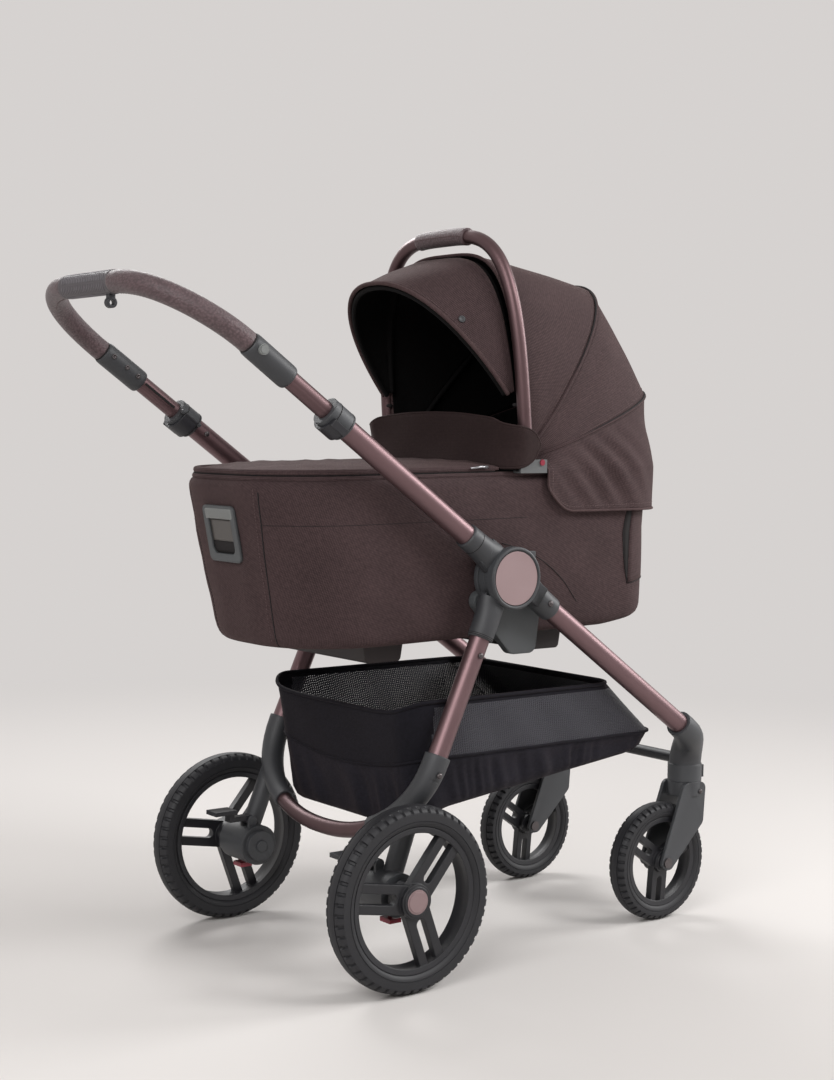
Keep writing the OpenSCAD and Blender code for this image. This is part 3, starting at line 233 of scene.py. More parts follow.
MAT = {
    "bronze": painted("bronze_paint", "#5b4749", "#7f6669", rounding=0.0),
    "cover": painted("cover_paint", "#8a7475", "#a08a8b", metallic=0.3, roughness=0.46),
    "charcoal": moulded("charcoal_plastic", "#323336", "#46484b", rounding=0.003),
    "receiver": moulded("receiver_plastic", "#404244", "#55585a", 0.55, rounding=0.005),
    "black": moulded("black_plastic", "#18181c", "#2a2a2f", 0.46, rounding=0.0025),
    "rubber": moulded("tyre_rubber", "#18181c", "#2c2c31", 0.58, grain=0.0013),
    "red": moulded("red_plastic", "#6a0d1e", "#96203a", 0.35),
    "pale": moulded("pale_plastic", "#4c4d4e", "#5e6061"),
    "silver": moulded("silver_plastic", "#6f7170", "#8b8e8c", 0.4),
    "plate": moulded("warm_grey_plastic", "#4a4643", "#5f5a57", 0.4),
    "bolt": moulded("dark_bolt", "#4a4546", "#6a6465", 0.34, grain=0.002, metallic=0.7),
    "steel": moulded("bright_steel", "#8f8f92", "#b9b9bc", 0.32, grain=0.002, metallic=0.9),
    "grip": moulded("grip_rubber", "#524e51", "#625d5f", 0.55),
    "rib": moulded("grip_ribs", "#6a666a", "#7d797d"),
    "skid": moulded("dark_brown_plastic", "#1e1717", "#2e2525", 0.6, rounding=0.004),
    "cloth": woven("brown_twill", "#302526", "#574546", 0.0024, sheen=0.2, slant=0.42),
    "canvas": woven("brown_canvas", "#302526", "#574546", 0.0026, sheen=0.2),
    "trim": woven("brown_binding", "#3b2d2d", "#665253", 0.0018, sheen=0.2, contrast=0.5),
    "flap": woven("flap_cloth", "#281d1d", "#392b2b", 0.0016, sheen=0.15, contrast=0.4),
    # Near-black lining: a dark cloth made darker still as painted shade, so the hood's inside and its
    # hoops read as shadow.
    "shaded_lining": woven("dark_lining_and_painted_shade", "#070606", "#0f0c0d", 0.0022, sheen=0.0, contrast=0.4),
    "band": woven("basket_band", "#111016", "#22212a", 0.0016, sheen=0.1, contrast=0.35),
    "pleat": woven("basket_cloth", "#15141a", "#2d2b35", 0.0018, sheen=0.12, contrast=0.4),
    "net": meshed("basket_net", "#08080a", "#2e2d37", 0.0042),
    "knit": woven("mattress_knit", "#9b948e", "#b9b2ab", 0.003, sheen=0.2, contrast=0.5),
    "leather": grained("brown_leatherette", "#463538", "#6c575a", 0.0034),
    "thread": moulded("thread", "#4c3b3b", "#624e4e", 0.8),
    "shadow": moulded("seam_shadow", "#100b0c", "#181213", 0.9),
}


# Mesh building


def add_object(name, data):
    obj = bpy.data.objects.new(name, data)
    bpy.context.scene.collection.objects.link(obj)
    return obj


def mount(obj, body, replaces=()):
    """A piece that rides on a body of the frame and the nodes it stands for."""
    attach(obj, body)
    if replaces:
        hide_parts(*replaces)
    return obj


def add_mesh(name, points, faces, looks, uvs=None):
    """A smooth mesh object; uvs is one pair in metres for each face corner."""
    mesh = bpy.data.meshes.new(name)
    mesh.from_pydata([tuple(p) for p in points], [], [tuple(int(i) for i in f) for f in faces])
    for look in looks:
        mesh.materials.append(MAT[look])
    if uvs is not None:
        layer = mesh.uv_layers.new(name=WEAVE)
        layer.data.foreach_set("uv", np.asarray(uvs, np.float32).ravel())
    mesh.shade_smooth()
    mesh.update()
    return add_object(name, mesh)


def run_lengths(grid, axis):
    """Distance along a grid's lines from their start, the same shape as the grid."""
    steps = np.linalg.norm(np.diff(grid, axis=axis), axis=2)
    pad = [(0, 0), (0, 0)]
    pad[axis] = (1, 0)
    return np.pad(np.cumsum(steps, axis=axis), pad)


def sheet(name, grid, looks, close=False, flip=False, thick=0.0, offset=-1.0, caps=()):
    """A sheet through rows and columns of points, with its weave in metres.

    A closed sheet joins its last column to its first; caps names the rows to close with a flat face.
    """
    rows, cols = grid.shape[:2]
    index = np.arange(rows * cols).reshape(rows, cols)
    around = np.concatenate([index, index[:, :1]], 1) if close else index
    laid = grid.reshape(-1, 3)[around]
    u = run_lengths(laid, 1)
    uv = np.stack([u - u[:, -1:] / 2, run_lengths(laid, 0)], 2)
    near, far = slice(0, -1), slice(1, None)
    corners = [(near, near), (near, far), (far, far), (far, near)]
    if flip:
        corners.reverse()
    faces = [list(f) for f in np.stack([around[c] for c in corners], -1).reshape(-1, 4)]
    corner_uv = [np.stack([uv[c] for c in corners], 2).reshape(-1, 2)]
    for row in caps:
        step = -1 if (row == 0) != flip else 1
        faces.append(list(index[row][::step]))
        corner_uv.append(grid[row][::step, :2])
    obj = add_mesh(name, grid.reshape(-1, 3), faces, looks, np.concatenate(corner_uv))
    if thick:
        solid = obj.modifiers.new("thickness", "SOLIDIFY")
        solid.thickness = thick
        solid.offset = offset
        solid.use_even_offset = True
        solid.material_offset = len(looks) - 1
    return obj


def frames_along(path, close):
    """Two normals along a path, carried without twist."""
    ahead = np.roll(path, -1, 0)
    behind = np.roll(path, 1, 0)
    if not close:
        ahead[-1], behind[0] = path[-1], path[0]
    tangent = ahead - behind
    tangent /= np.linalg.norm(tangent, axis=1)[:, None]
    seed = np.eye(3)[np.argmin(np.abs(tangent[0]))]
    normal = np.zeros_like(path)
    n = np.cross(tangent[0], seed)
    for i, t in enumerate(tangent):
        n = n - t * np.dot(n, t)
        n = n / np.linalg.norm(n)
        normal[i] = n
    return normal, np.cross(tangent, normal)


def tube_grid(path, radius, sides, close=False):
    path = np.asarray(path, float)
    radius = np.broadcast_to(np.asarray(radius, float), len(path))
    normal, side = frames_along(path, close)
    a = np.linspace(0, 2 * np.pi, sides, endpoint=False)
    ring = np.cos(a)[None, :, None] * normal[:, None] + np.sin(a)[None, :, None] * side[:, None]
    return path[:, None] + radius[:, None, None] * ring


def tube(name, path, radius, look, body, sides=8, close=False, replaces=()):
    """A round tube along a path."""
    grid = tube_grid(path, radius, sides, close)
    if close:
        grid = np.concatenate([grid, grid[:1]])
    obj = sheet(name, grid, [look], close=True, caps=() if close else (0, -1))
    return mount(obj, body, replaces)


def heap(name, parts, look, body):
    """One mesh from many small parts, each a pair of points and faces."""
    points, faces, count = [], [], 0
    for part_points, part_faces in parts:
        points.append(np.asarray(part_points, float))
        faces += [[i + count for i in f] for f in part_faces]
        count += len(part_points)
    return mount(add_mesh(name, np.concatenate(points), faces, [look]), body)


def wall_faces(rows, sides):
    """Faces between rows of points that each run once round."""
    faces = []
    for low in range(0, (rows - 1) * sides, sides):
        for j in range(sides):
            k = (j + 1) % sides
            faces.append([low + j, low + k, low + sides + k, low + sides + j])
    return faces


def turned(centre, axis, profile, segments=20):
    """Points and faces of a profile of (radius, height) pairs turned round an axis."""
    axis = np.asarray(axis, float) / np.linalg.norm(axis)
    seed = np.eye(3)[np.argmin(np.abs(axis))]
    x = np.cross(axis, seed)
    x /= np.linalg.norm(x)
    y = np.cross(axis, x)
    a = np.linspace(0, 2 * np.pi, segments, endpoint=False)
    spokes = [np.cos(t) * x + np.sin(t) * y for t in a]
    points = [np.asarray(centre) + r * spoke + h * axis for r, h in profile for spoke in spokes]
    first, last = range(segments), range(len(points) - segments, len(points))
    return points, wall_faces(len(profile), segments) + [list(first)[::-1], list(last)]


def drum(centre, axis, radius, height, segments=20):
    """Points and faces of a short round bar."""
    core = 0.0005
    profile = ((core, 0), (radius, 0), (radius, height), (core, height))
    return turned(centre, axis, profile, segments)


def ring_about(centre, axis, radius, count=48):
    """A ring of points about any axis."""
    return np.array(turned(centre, axis, ((radius, 0.0),), count)[0])


def circle(centre, radius, count=72):
    """A ring of points about the Y axis."""
    a = np.linspace(0, 2 * np.pi, count, endpoint=False)
    return np.asarray(centre) + np.stack([radius * np.cos(a), 0 * a, radius * np.sin(a)], 1)


def dash(a, b, radius):
    """One stitch from a to b: a short thread, thin at its ends."""
    path = [a, a + (b - a) * 0.2, a + (b - a) * 0.8, b]
    grid = tube_grid(path, [radius * 0.4, radius, radius, radius * 0.4], 5)
    return grid.reshape(-1, 3), wall_faces(4, 5) + [[4, 3, 2, 1, 0], [15, 16, 17, 18, 19]]


def resample(path, step):
    """Points at even steps along a path."""
    path = np.asarray(path, float)
    along = np.concatenate([[0], np.cumsum(np.linalg.norm(np.diff(path, axis=0), axis=1))])
    count = max(2, int(round(along[-1] / step)) + 1)
    spots = np.linspace(0, along[-1], count)
    return np.stack([np.interp(spots, along, path[:, i]) for i in range(3)], 1)


GRIP_STITCH = (0.004, 0.002, 0.0007)


def stitches(path, length=0.0034, gap=0.0018, radius=0.0006):
    """The dashes of a row of stitching."""
    points = resample(path, length + gap)
    share = length / (length + gap)
    return [dash(a, a + (b - a) * share, radius) for a, b in zip(points[:-1], points[1:])]


RIVET = ((0, 0), (1, 0), (1, 0.25), (0.8, 0.5), (0.45, 0.66), (0.1, 0.7))
SCREW = ((0, 0), (1, 0), (1, 0.3), (0.85, 0.5), (0.5, 0.5), (0.44, 0.12), (0.05, 0.12))
STUD = ((0, 0), (1, 0), (1, 0.3), (0.8, 0.42), (0.7, 0.3), (0.05, 0.3))


def fastener(centre, axis, radius, form=RIVET):
    return turned(centre, axis, [(max(r, 0.02) * radius, h * radius) for r, h in form])


def dress(names, look):
    """A frame node's material, with its facets smoothed between its edges."""
    for name in names:
        obj = nodes[name]
        obj.data.materials.clear()
        obj.data.materials.append(MAT[look])
        obj.data.shade_smooth()
        obj.modifiers.new("weld", "WELD").merge_threshold = 0.00001
        obj.modifiers.new("crisp", "EDGE_SPLIT").split_angle = math.radians(32)


def both(name):
    return [f"{name}_{side}" for side, _ in SIDES]


# Sizes that the frame gives; x in millimetres runs from the rear axle

REAR_LO, REAR_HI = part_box("rear_tyre_left")
AXLE = (REAR_LO.x + REAR_HI.x) / 2
HUB = np.array(joints["handle_fold"]["pos_m"])
PIVOT = np.array(joints["hood_fold"]["pos_m"])
VISOR_PIVOT = np.array(joints["visor_fold"]["pos_m"])


def at(x, y, z):
    """A point in the frame from millimetres."""
    return np.array([x / 1000 + AXLE, y / 1000, z / 1000])


def smoothstep(t):
    t = np.clip(t, 0, 1)
    return t * t * (3 - 2 * t)


def bezier(a, b, c, d, count):
    t = np.linspace(0, 1, count)[:, None]
    return (1 - t) ** 3 * a + 3 * (1 - t) ** 2 * t * b + 3 * (1 - t) * t * t * c + t**3 * d


LINE_ANGLE = math.radians(35.5)
LINE_UP = np.array([-math.cos(LINE_ANGLE), 0, math.sin(LINE_ANGLE)])
LINE_OUT = np.array([math.sin(LINE_ANGLE), 0, math.cos(LINE_ANGLE)])
LEG_ANGLE = math.radians(24.5)
LEG_DOWN = np.array([-math.sin(LEG_ANGLE), 0, -math.cos(LEG_ANGLE)])
LEG_OUT = np.array([-math.cos(LEG_ANGLE), 0, math.sin(LEG_ANGLE)])
TUBE_Y, TUBE_R, LINE_SHIFT, LEG_SHIFT = 0.224, 0.017, 0.008, 0.009


def line_point(s, side=1):
    """A point at s metres up the handle line from the hub."""
    return HUB + [0, side * TUBE_Y, 0] + LINE_SHIFT * LINE_OUT + s * LINE_UP


def leg_point(d, side=1):
    """A point at d metres down the rear leg from the hub."""
    return HUB + [0, side * TUBE_Y, 0] + LEG_SHIFT * LEG_OUT + d * LEG_DOWN


# Bassinet tub

FOOT, HEAD = -0.188 + AXLE, 0.604 + AXLE
HALF, FLOOR_Z, RIM_Z, RIM_RISE = 0.195, 0.530, 0.781, 0.012
FOOT_DROP, HEAD_RISE, RISE_RUN = 0.014, 0.018, 0.13
FOOT_R, HEAD_R, HEAD_R_LOW, LEAST_R = 0.150, 0.100, 0.070, 0.008
FOOT_LEAN, HEAD_LEAN, SIDE_LEAN = 0.051, 0.007, 0.020


def rim_height(x):
    return RIM_Z + RIM_RISE * (x - FOOT) / (HEAD - FOOT)


def underside(x):
    """Height of the floor, which drops to the foot and lifts under the head."""
    lift = HEAD_RISE * np.clip((x - HEAD + RISE_RUN) / RISE_RUN, 0, 1) ** 1.3
    return FLOOR_Z - FOOT_DROP * (HEAD - x) / (HEAD - FOOT) + lift


def head_radius(level):
    return HEAD_R_LOW + (HEAD_R - HEAD_R_LOW) * min(1, level / 0.6)


def leg_of(p, q, count):
    t = np.linspace(0, 1, count, endpoint=False)[:, None]
    return (1 - t) * np.array(p) + t * np.array(q)


def arc_of(cx, cy, r, first, count):
    a = np.radians(first + 90 * np.arange(count) / count)
    return np.stack([cx + r * np.cos(a), cy + r * np.sin(a)], 1)


def rounded(x0, x1, half, rear_r, front_r, counts):
    """A rounded outline from the middle of its front end round its left side.

    counts gives the points of half the front end, a front corner, a side, a rear corner, the rear end.
    """
    front, front_corner, side, rear_corner, rear = counts
    xr, yr, xf, yf = x0 + rear_r, half - rear_r, x1 - front_r, half - front_r
    parts = [
        leg_of((x1, 0), (x1, yf), front),
        arc_of(xf, yf, front_r, 0, front_corner),
        leg_of((xf, half), (xr, half), side),
        arc_of(xr, yr, rear_r, 90, rear_corner),
        leg_of((x0, yr), (x0, -yr), rear),
        arc_of(xr, -yr, rear_r, 180, rear_corner),
        leg_of((xr, -half), (xf, -half), side),
        arc_of(xf, -yf, front_r, 270, front_corner),
        leg_of((x1, -yf), (x1, 0), front),
    ]
    return np.concatenate(parts)


def tub_outline(level, inset):
    x0 = FOOT + FOOT_LEAN * (1 - level) + inset
    x1 = HEAD - HEAD_LEAN * (1 - level) - inset
    half = HALF - SIDE_LEAN * (1 - level) - inset
    foot_r, head_r = (max(r - inset, LEAST_R) for r in (FOOT_R, head_radius(level)))
    return rounded(x0, x1, half, foot_r, head_r, (12, 18, 64, 28, 14))


def tub_ring(level, inset, lift=0.0):
    """A line once round the tub, at a level from 0 on its floor to 1 on its rim."""
    p = tub_outline(level, inset)
    low = underside(p[:, 0])
    z = low + level * (rim_height(p[:, 0]) - low) + lift
    return np.concatenate([p, z[:, None]], 1)


def soft_level(level):
    """Outward swell of the padded wall."""
    return 0.0035 * math.sin(math.pi * min(1.0, level / 0.97)) ** 0.8


COLUMNS, SIDE_SEAM_START, FOOT_SEAM = 258, 56, 115
SEAM_COLUMN = {1: FOOT_SEAM, -1: COLUMNS - FOOT_SEAM}
SEAM_LEVEL, SEAM_DEPTH, RIPPLE_DEPTH = 0.73, 0.0022, 0.0007
TUB_LEVELS = [0.0, 0.006, 0.02, 0.04, 0.07, 0.12, 0.18, 0.26, 0.34, 0.42, 0.5, 0.58, 0.66]
TUB_LEVELS += [0.7, 0.724, SEAM_LEVEL, 0.736, 0.76, 0.82, 0.88, 0.92]
EASE = {0.0: 0.013, 0.006: 0.0085, 0.02: 0.004, 0.04: 0.0015}
SHOULDER = ((0.945, 0.0002), (0.963, 0.0022), (0.978, 0.0054), (0.989, 0.0094), (0.995, 0.0135))
tub_rows = [tub_ring(0.0, inset) for inset in (0.14, 0.10, 0.06, 0.03)]
UNDER = len(tub_rows)
WALL = slice(UNDER + 1, UNDER + len(TUB_LEVELS))
tub_rows += [tub_ring(v, EASE.get(v, 0.0) - soft_level(v)) for v in TUB_LEVELS]
tub_rows += [tub_ring(*row) for row in SHOULDER]
tub_grid = np.array(tub_rows)

x, y, z = (tub_grid[..., i] for i in range(3))
ripple = np.sin(x * 61 + z * 23) * np.sin(x * 23 - z * 71 + y * 31)
ripple = ripple + 0.6 * np.sin(x * 37 + z * 93 + y * 53)
wall = np.clip((z - underside(x)) / 0.03, 0, 1) * np.clip((rim_height(x) - 0.02 - z) / 0.03, 0, 1)
outward = tub_grid - tub_grid.mean(axis=(0, 1))
outward[..., 2] = 0
outward /= np.maximum(np.linalg.norm(outward, axis=2), 1e-6)[..., None]
tub_grid = tub_grid + outward * (RIPPLE_DEPTH * ripple * wall)[..., None]
swells = [0.0] * UNDER + [soft_level(v) for v in TUB_LEVELS] + [0.0] * len(SHOULDER)
flat = np.clip((0.10 - np.abs(y)) / 0.04, 0, 1) * (x < 0)
tub_grid[..., 0] += (np.array(swells)[:, None] + 0.001) * smoothstep(flat)
for column in SEAM_COLUMN.values():
    tub_grid[WALL, column] -= outward[WALL, column] * SEAM_DEPTH
tub = sheet("tub_cover", tub_grid, ["cloth"], close=True, caps=(0,))
mount(tub, "bassinet", ("bassinet_tub",))

LINING = ((0.995, 0.0135), (0.985, 0.0142), (0.97, 0.0146), (0.75, 0.0146))
LINING += ((0.5, 0.0148), (0.25, 0.0150), (0.11, 0.016), (0.10, 0.024))
lining_grid = np.array([tub_ring(*row) for row in LINING])
shaded_lining = sheet("tub_lining", lining_grid, ["shaded_lining"], close=True, caps=(-1,))
mount(shaded_lining, "bassinet")


def on_tub(x, z, side):
    """A point on the straight side of the tub, from millimetres."""
    low = underside(x / 1000 + AXLE)
    level = (z / 1000 - low) / (rim_height(x / 1000 + AXLE) - low)
    y = HALF - SIDE_LEAN * (1 - level) + soft_level(level)
    return np.array([x / 1000 + AXLE, side * y, z / 1000])


def smooth_path(points, step=0.004):
    """A rounded line through given points."""
    path = np.asarray(points, float)
    for _ in range(3):
        a, b = path[:-1], path[1:]
        cut = np.stack([0.75 * a + 0.25 * b, 0.25 * a + 0.75 * b], 1).reshape(-1, 3)
        path = np.concatenate([path[:1], cut, path[-1:]])
    return resample(path, step)


BENT_SEAM = ((236, 676), (300, 660), (367, 619), (408, 572))
seam_row = UNDER + TUB_LEVELS.index(SEAM_LEVEL)
seam_lines, seam_threads = [], []
for _, side in SIDES:
    column = SEAM_COLUMN[side]
    seam_lines.append((tub_grid[WALL, column] + outward[WALL, column] * 0.0004, 0.0011))
    run = slice(SIDE_SEAM_START, FOOT_SEAM + 1)
    if side < 0:
        run = slice(COLUMNS - FOOT_SEAM, COLUMNS - SIDE_SEAM_START + 1)
    seam_lines.append((tub_grid[seam_row, run] + outward[seam_row, run] * 0.0001, 0.0004))
    seam_lines.append((smooth_path([on_tub(*spot, side) for spot in BENT_SEAM]), 0.0007))
    seam_threads += stitches(tub_grid[UNDER + 3 : WALL.stop + 1, column + side])
heap("tub_stitches", seam_threads, "thread", "bassinet")
for k, (path, radius) in enumerate(seam_lines):
    path = resample(path, 0.005)
    tube(f"tub_seam_{k}", path, radius, "shadow", "bassinet", sides=6)

# A pocket by each head corner: a raised patch, a sheet of painted shadow for the slit along its rear
# edge, and a line of painted shadow under its lower edge


def head_corner(level, angle, side, lift):
    """A point on the rounded corner of the head end, at an angle in degrees from forward."""
    r = head_radius(level)
    reach = r + (soft_level(level) + lift)
    x = HEAD - HEAD_LEAN * (1 - level) - r + reach * math.cos(math.radians(angle))
    y = HALF - SIDE_LEAN * (1 - level) - r + reach * math.sin(math.radians(angle))
    return np.array([x, side * y, underside(x) + level * (rim_height(x) - underside(x))])


SLIT = (-0.3, 0.0, 0.35, 0.7)
for side_name, side in SIDES:
    face, slit = [], []
    for k, v in enumerate(np.linspace(0.25, 0.80, 12)):
        edge = 86 - 9 * k / 11
        wide = 13 * math.sin(math.pi * min(1, (k + 0.2) / 15)) ** 0.8
        face.append([head_corner(v, a, side, 0.0016) for a in np.linspace(-6, edge, 15)])
        slit.append([head_corner(v, edge + a * wide, side, 0.0009) for a in SLIT])
    flip = side < 0
    patch = sheet(f"pocket_patch_{side_name}", np.array(face), ["canvas"], flip=flip, thick=0.0012)
    mount(patch, "bassinet")
    # The slit is a sheet of painted shadow.
    slot = sheet(f"pocket_slit_{side_name}", np.array(slit), ["shadow"], flip=flip, thick=0.0006)
    mount(slot, "bassinet")
    # A line of painted shadow along the patch's lower edge.
    name = f"pocket_edge_shadow_{side_name}"
    tube(name, np.array(face[0]), 0.0008, "shadow", "bassinet", sides=6)

# Rim, zip and piping

APRON_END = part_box("apron")[1].x
ZIP_X = APRON_END - 0.004
ROLL_INSET, ROLL_LIFT = 0.0150, 0.0088
PULL = ((0, 0, 0), (-0.012, 0.001, 0.0004), (-0.034, 0.001, -0.002))
PULL_R = (0.0026, 0.0022, 0.0014)


def foot_rim(inset, lift):
    """The stretch of a line along the rim that the apron covers."""
    ring = tub_ring(1.0, inset, lift)
    return ring[ring[:, 0] < ZIP_X]


bead = tub_ring(1.0, 0.0125, -0.0008)
tube("rim_bead", bead, 0.0046, "canvas", "bassinet", sides=12, close=True)
tube("zip_tape", foot_rim(0.0142, 0.0034), 0.0036, "shaded_lining", "bassinet")
teeth = stitches(foot_rim(0.0108, 0.0038), 0.0014, 0.0012, 0.0009)
heap("zip_teeth", teeth, "shadow", "bassinet")
piping = foot_rim(ROLL_INSET, ROLL_LIFT)
tube("apron_piping", piping, 0.0052, "canvas", "bassinet", sides=12)
for side_name, side in SIDES:
    zip_at = at(205, side * 188, 799)
    path = [zip_at + [dx, side * dy, dz] for dx, dy, dz in PULL]
    tube(f"zip_pull_{side_name}", path, PULL_R, "steel", "bassinet")

# Apron


def rim_half_at(x, inset):
    """Half width of the rim line at x."""
    d = np.maximum(FOOT + FOOT_R - x, 0)
    return HALF - FOOT_R + np.sqrt(np.maximum((FOOT_R - inset) ** 2 - d**2, 0))


t = np.linspace(0, 1, 44)[:, None] ** 1.7
c = np.linspace(-1, 1, 49)[None, :]
x = (FOOT + ROLL_INSET) + (APRON_END - FOOT - ROLL_INSET) * t + 0 * c
y = rim_half_at(x, ROLL_INSET) * c
rise = 0.010 * (1 - c**4) * np.clip((x - FOOT) / 0.12, 0, 1)
crease = 0.0011 * np.sin(x * 78 + y * 31) * np.sin(y * 46 - x * 17)
crease = crease + 0.0007 * np.sin(x * 140 - y * 95)
crease = crease * (1 - c**6) * np.clip((x - FOOT) / 0.06, 0, 1)
z = rim_height(x) + ROLL_LIFT + 0.002 + rise + crease
apron = sheet("apron_cover", np.stack([x, y, z], 2), ["canvas"], flip=True, thick=0.0045)
mount(apron, "bassinet", ("apron",))

# Mattress: inset and rise of each ring

PAD_GAP, PAD_RISE = 0.017, 0.0155
MATTRESS = ((0.03, 0.0), (0.016, 0.0), (0.006, 0.003), (0.001, 0.010), (0.0, 0.020))
MATTRESS += ((0.001, 0.029), (0.006, 0.036), (0.016, 0.0405), (0.034, 0.043), (0.06, 0.0447))
MATTRESS += ((0.09, 0.0456), (0.12, 0.046), (0.145, 0.046))
TOP_ROWS = slice(8, None)


def mattress_ring(inset, rise):
    z = FLOOR_Z + PAD_RISE + rise
    p = tub_outline((z - FLOOR_Z) / (RIM_Z - FLOOR_Z), PAD_GAP + inset)
    return np.concatenate([p, np.full((len(p), 1), z)], 1)


pad_grid = np.array([mattress_ring(*row) for row in MATTRESS])
x, y = pad_grid[TOP_ROWS, :, 0], pad_grid[TOP_ROWS, :, 1]
pad_grid[TOP_ROWS, :, 2] += 0.0008 * np.sin(x * 70) * np.sin(y * 70)
pad = sheet("mattress_cover", pad_grid, ["knit"], close=True, caps=(0, -1))
mount(pad, "bassinet", ("mattress",))
piping = mattress_ring(0.0045, 0.0352)
tube("mattress_piping", piping, 0.0025, "knit", "bassinet", close=True)

# Wind flap

FLAP_LO, FLAP_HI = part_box("wind_flap")
FLAP_X = APRON_END + 0.0018
FLAP_BASE, FLAP_H, FLAP_HALF = FLAP_LO.z, FLAP_HI.z - FLAP_LO.z, 0.202
BEND_AT, BEND_RUN, SIDE_AT, SQUARENESS = 0.74, 0.26, 0.86, 40
TIP_AT, TIP_RUN, TIP_REACH, TIP_RISE, TIP_DROP = 0.80, 0.186, 0.062, 0.034, 0.036
v = np.linspace(-0.985, 0.985, 97)
a = np.abs(v)
turn = np.maximum(0, a - BEND_AT) / BEND_RUN
x = FLAP_X + 0.002 * a + TIP_REACH * turn**1.5
across = a / SIDE_AT / (1 + (a / SIDE_AT) ** SQUARENESS) ** (1 / SQUARENESS)
y = np.sign(v) * (FLAP_HALF * across + 0.006 * smoothstep(turn * 2))
tip = np.clip((a - TIP_AT) / TIP_RUN, 0, 1)
close_in = 1 - np.sqrt(np.maximum(0, 1 - tip**2.6))
low = FLAP_BASE + 0.001 * a + TIP_RISE * close_in
high = FLAP_BASE + FLAP_H - 0.012 * np.clip(a / 0.75, 0, 1) ** 2.2 - TIP_DROP * close_in
high = high - 0.010 * smoothstep((a - 0.66) / 0.2) * (1 - close_in)
s = np.linspace(0, 1, 15)[:, None]
bow = 0.004 * np.sin(math.pi * s) + 0.0012 * np.sin(9 * v + 3 * s)
grid = np.stack([x + bow, y + 0 * s, low + (high - low) * s], 2)
flap = sheet("flap_cloth", grid, ["flap"], thick=0.003, offset=0.0)
mount(flap, "wind_flap", ("wind_flap",))
edge = resample(np.concatenate([grid[-1], grid[::-1, -1], grid[0][::-1], grid[:, 0]]), 0.006)
tube("flap_binding", edge, 0.0021, "flap", "wind_flap", close=True)

# Hood: angle from forward, reach, half width, squareness, pivot and drawn-in foot of each seam

BRIM = (129.5, 0.256, 0.172, 2.25, VISOR_PIVOT, 0.0)
BACK = (97.2, 0.341, 0.173, 3.65, PIVOT, 0.0)
CROWN = (94.5, 0.346, 0.175, 3.65, PIVOT, 0.005)
REAR = (50.5, 0.396, 0.180, 2.5, PIVOT, 0.010)
SKIRT = (19.5, 0.378, 0.190, 3.2, PIVOT, 0.020)
BOW = (94.5, 0.375, 0.1874, 3.65, PIVOT, 0.0)
HOOD_COLS, NEAR = 121, 0.25
FOOT_REACH, BACK_REACH = 0.022, 0.116
HOOD_MIDDLE = np.array([PIVOT[0], 0, PIVOT[2]])


def arch(seam, start=FOOT_REACH, grow=0.0, turn=0.0, count=HOOD_COLS):
    """Points of a hoop from its left foot to its right foot."""
    angle, reach, half, power, pivot, drawn_in = seam
    angle, reach, half = math.radians(angle + turn), reach + grow, half + grow
    u = np.linspace(0, 1, count)
    first = math.asin((start / reach) ** (power / 2))
    f = first + (math.pi - 2 * first) * (u - 0.09 * np.sin(2 * math.pi * u))
    r = reach * np.sin(f) ** (2 / power)
    side = half * np.abs(np.cos(f)) ** (2 / power) - drawn_in * np.exp(-((r / 0.06) ** 2))
    side = side * np.sign(np.cos(f))
    return np.stack([pivot[0] + r * math.cos(angle), side, pivot[2] + r * math.sin(angle)], 1)


def between(first, last, rows, swell, folds):
    """Rows of points from one hoop line to another, swollen outward and a little creased."""
    s = np.linspace(0, 1, rows)[:, None]
    u = np.linspace(0, 1, HOOD_COLS)[None, :]
    grid = (1 - s[..., None]) * first[None] + s[..., None] * last[None]
    out = grid - HOOD_MIDDLE
    out /= np.linalg.norm(out, axis=2)[..., None]
    crease = np.sin(26 * u + 5 * s) * np.sin(9 * u - 7 * s + 1) + 0.5 * np.sin(47 * u + 9 * s)
    lift = np.sin(math.pi * s) * (swell * np.sin(math.pi * u) ** 0.5 + folds * crease)
    return grid + out * lift[..., None]


def hood_panel(name, grid, node_name):
    """Hood cloth between two seams, with its placing baked into its points and its frame node hidden.
    """
    obj = sheet(name, grid, ["canvas", "shaded_lining"], flip=True, thick=0.0028)
    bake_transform(obj)
    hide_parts(node_name)
    return obj


rear_grid = between(arch(SKIRT, turn=NEAR), arch(REAR, turn=-NEAR), 19, 0.003, 0.0008)
panel = hood_panel("hood_rear_cloth", rear_grid, "hood_rear_panel")
main_grid = between(arch(REAR, turn=NEAR), arch(CROWN, turn=-NEAR), 25, 0.003, 0.0005)
panel = hood_panel("hood_main_cloth", main_grid, "hood_main_panel")
visor_rows = between(arch(BACK, BACK_REACH), arch(BRIM), 17, 0.002, 0.0003)
shaded_recess = [arch(CROWN, BACK_REACH, -0.008, 0.4), arch(BACK, BACK_REACH, -0.007)]
visor_grid = np.concatenate([shaded_recess, visor_rows])
visor = hood_panel("visor_cloth", visor_grid, "visor")
# The recess rows take the near-black lining colour as painted shade of the gap under the bow.
for face in visor.data.polygons:
    if face.index < len(shaded_recess) * (HOOD_COLS - 1):
        face.material_index = 1

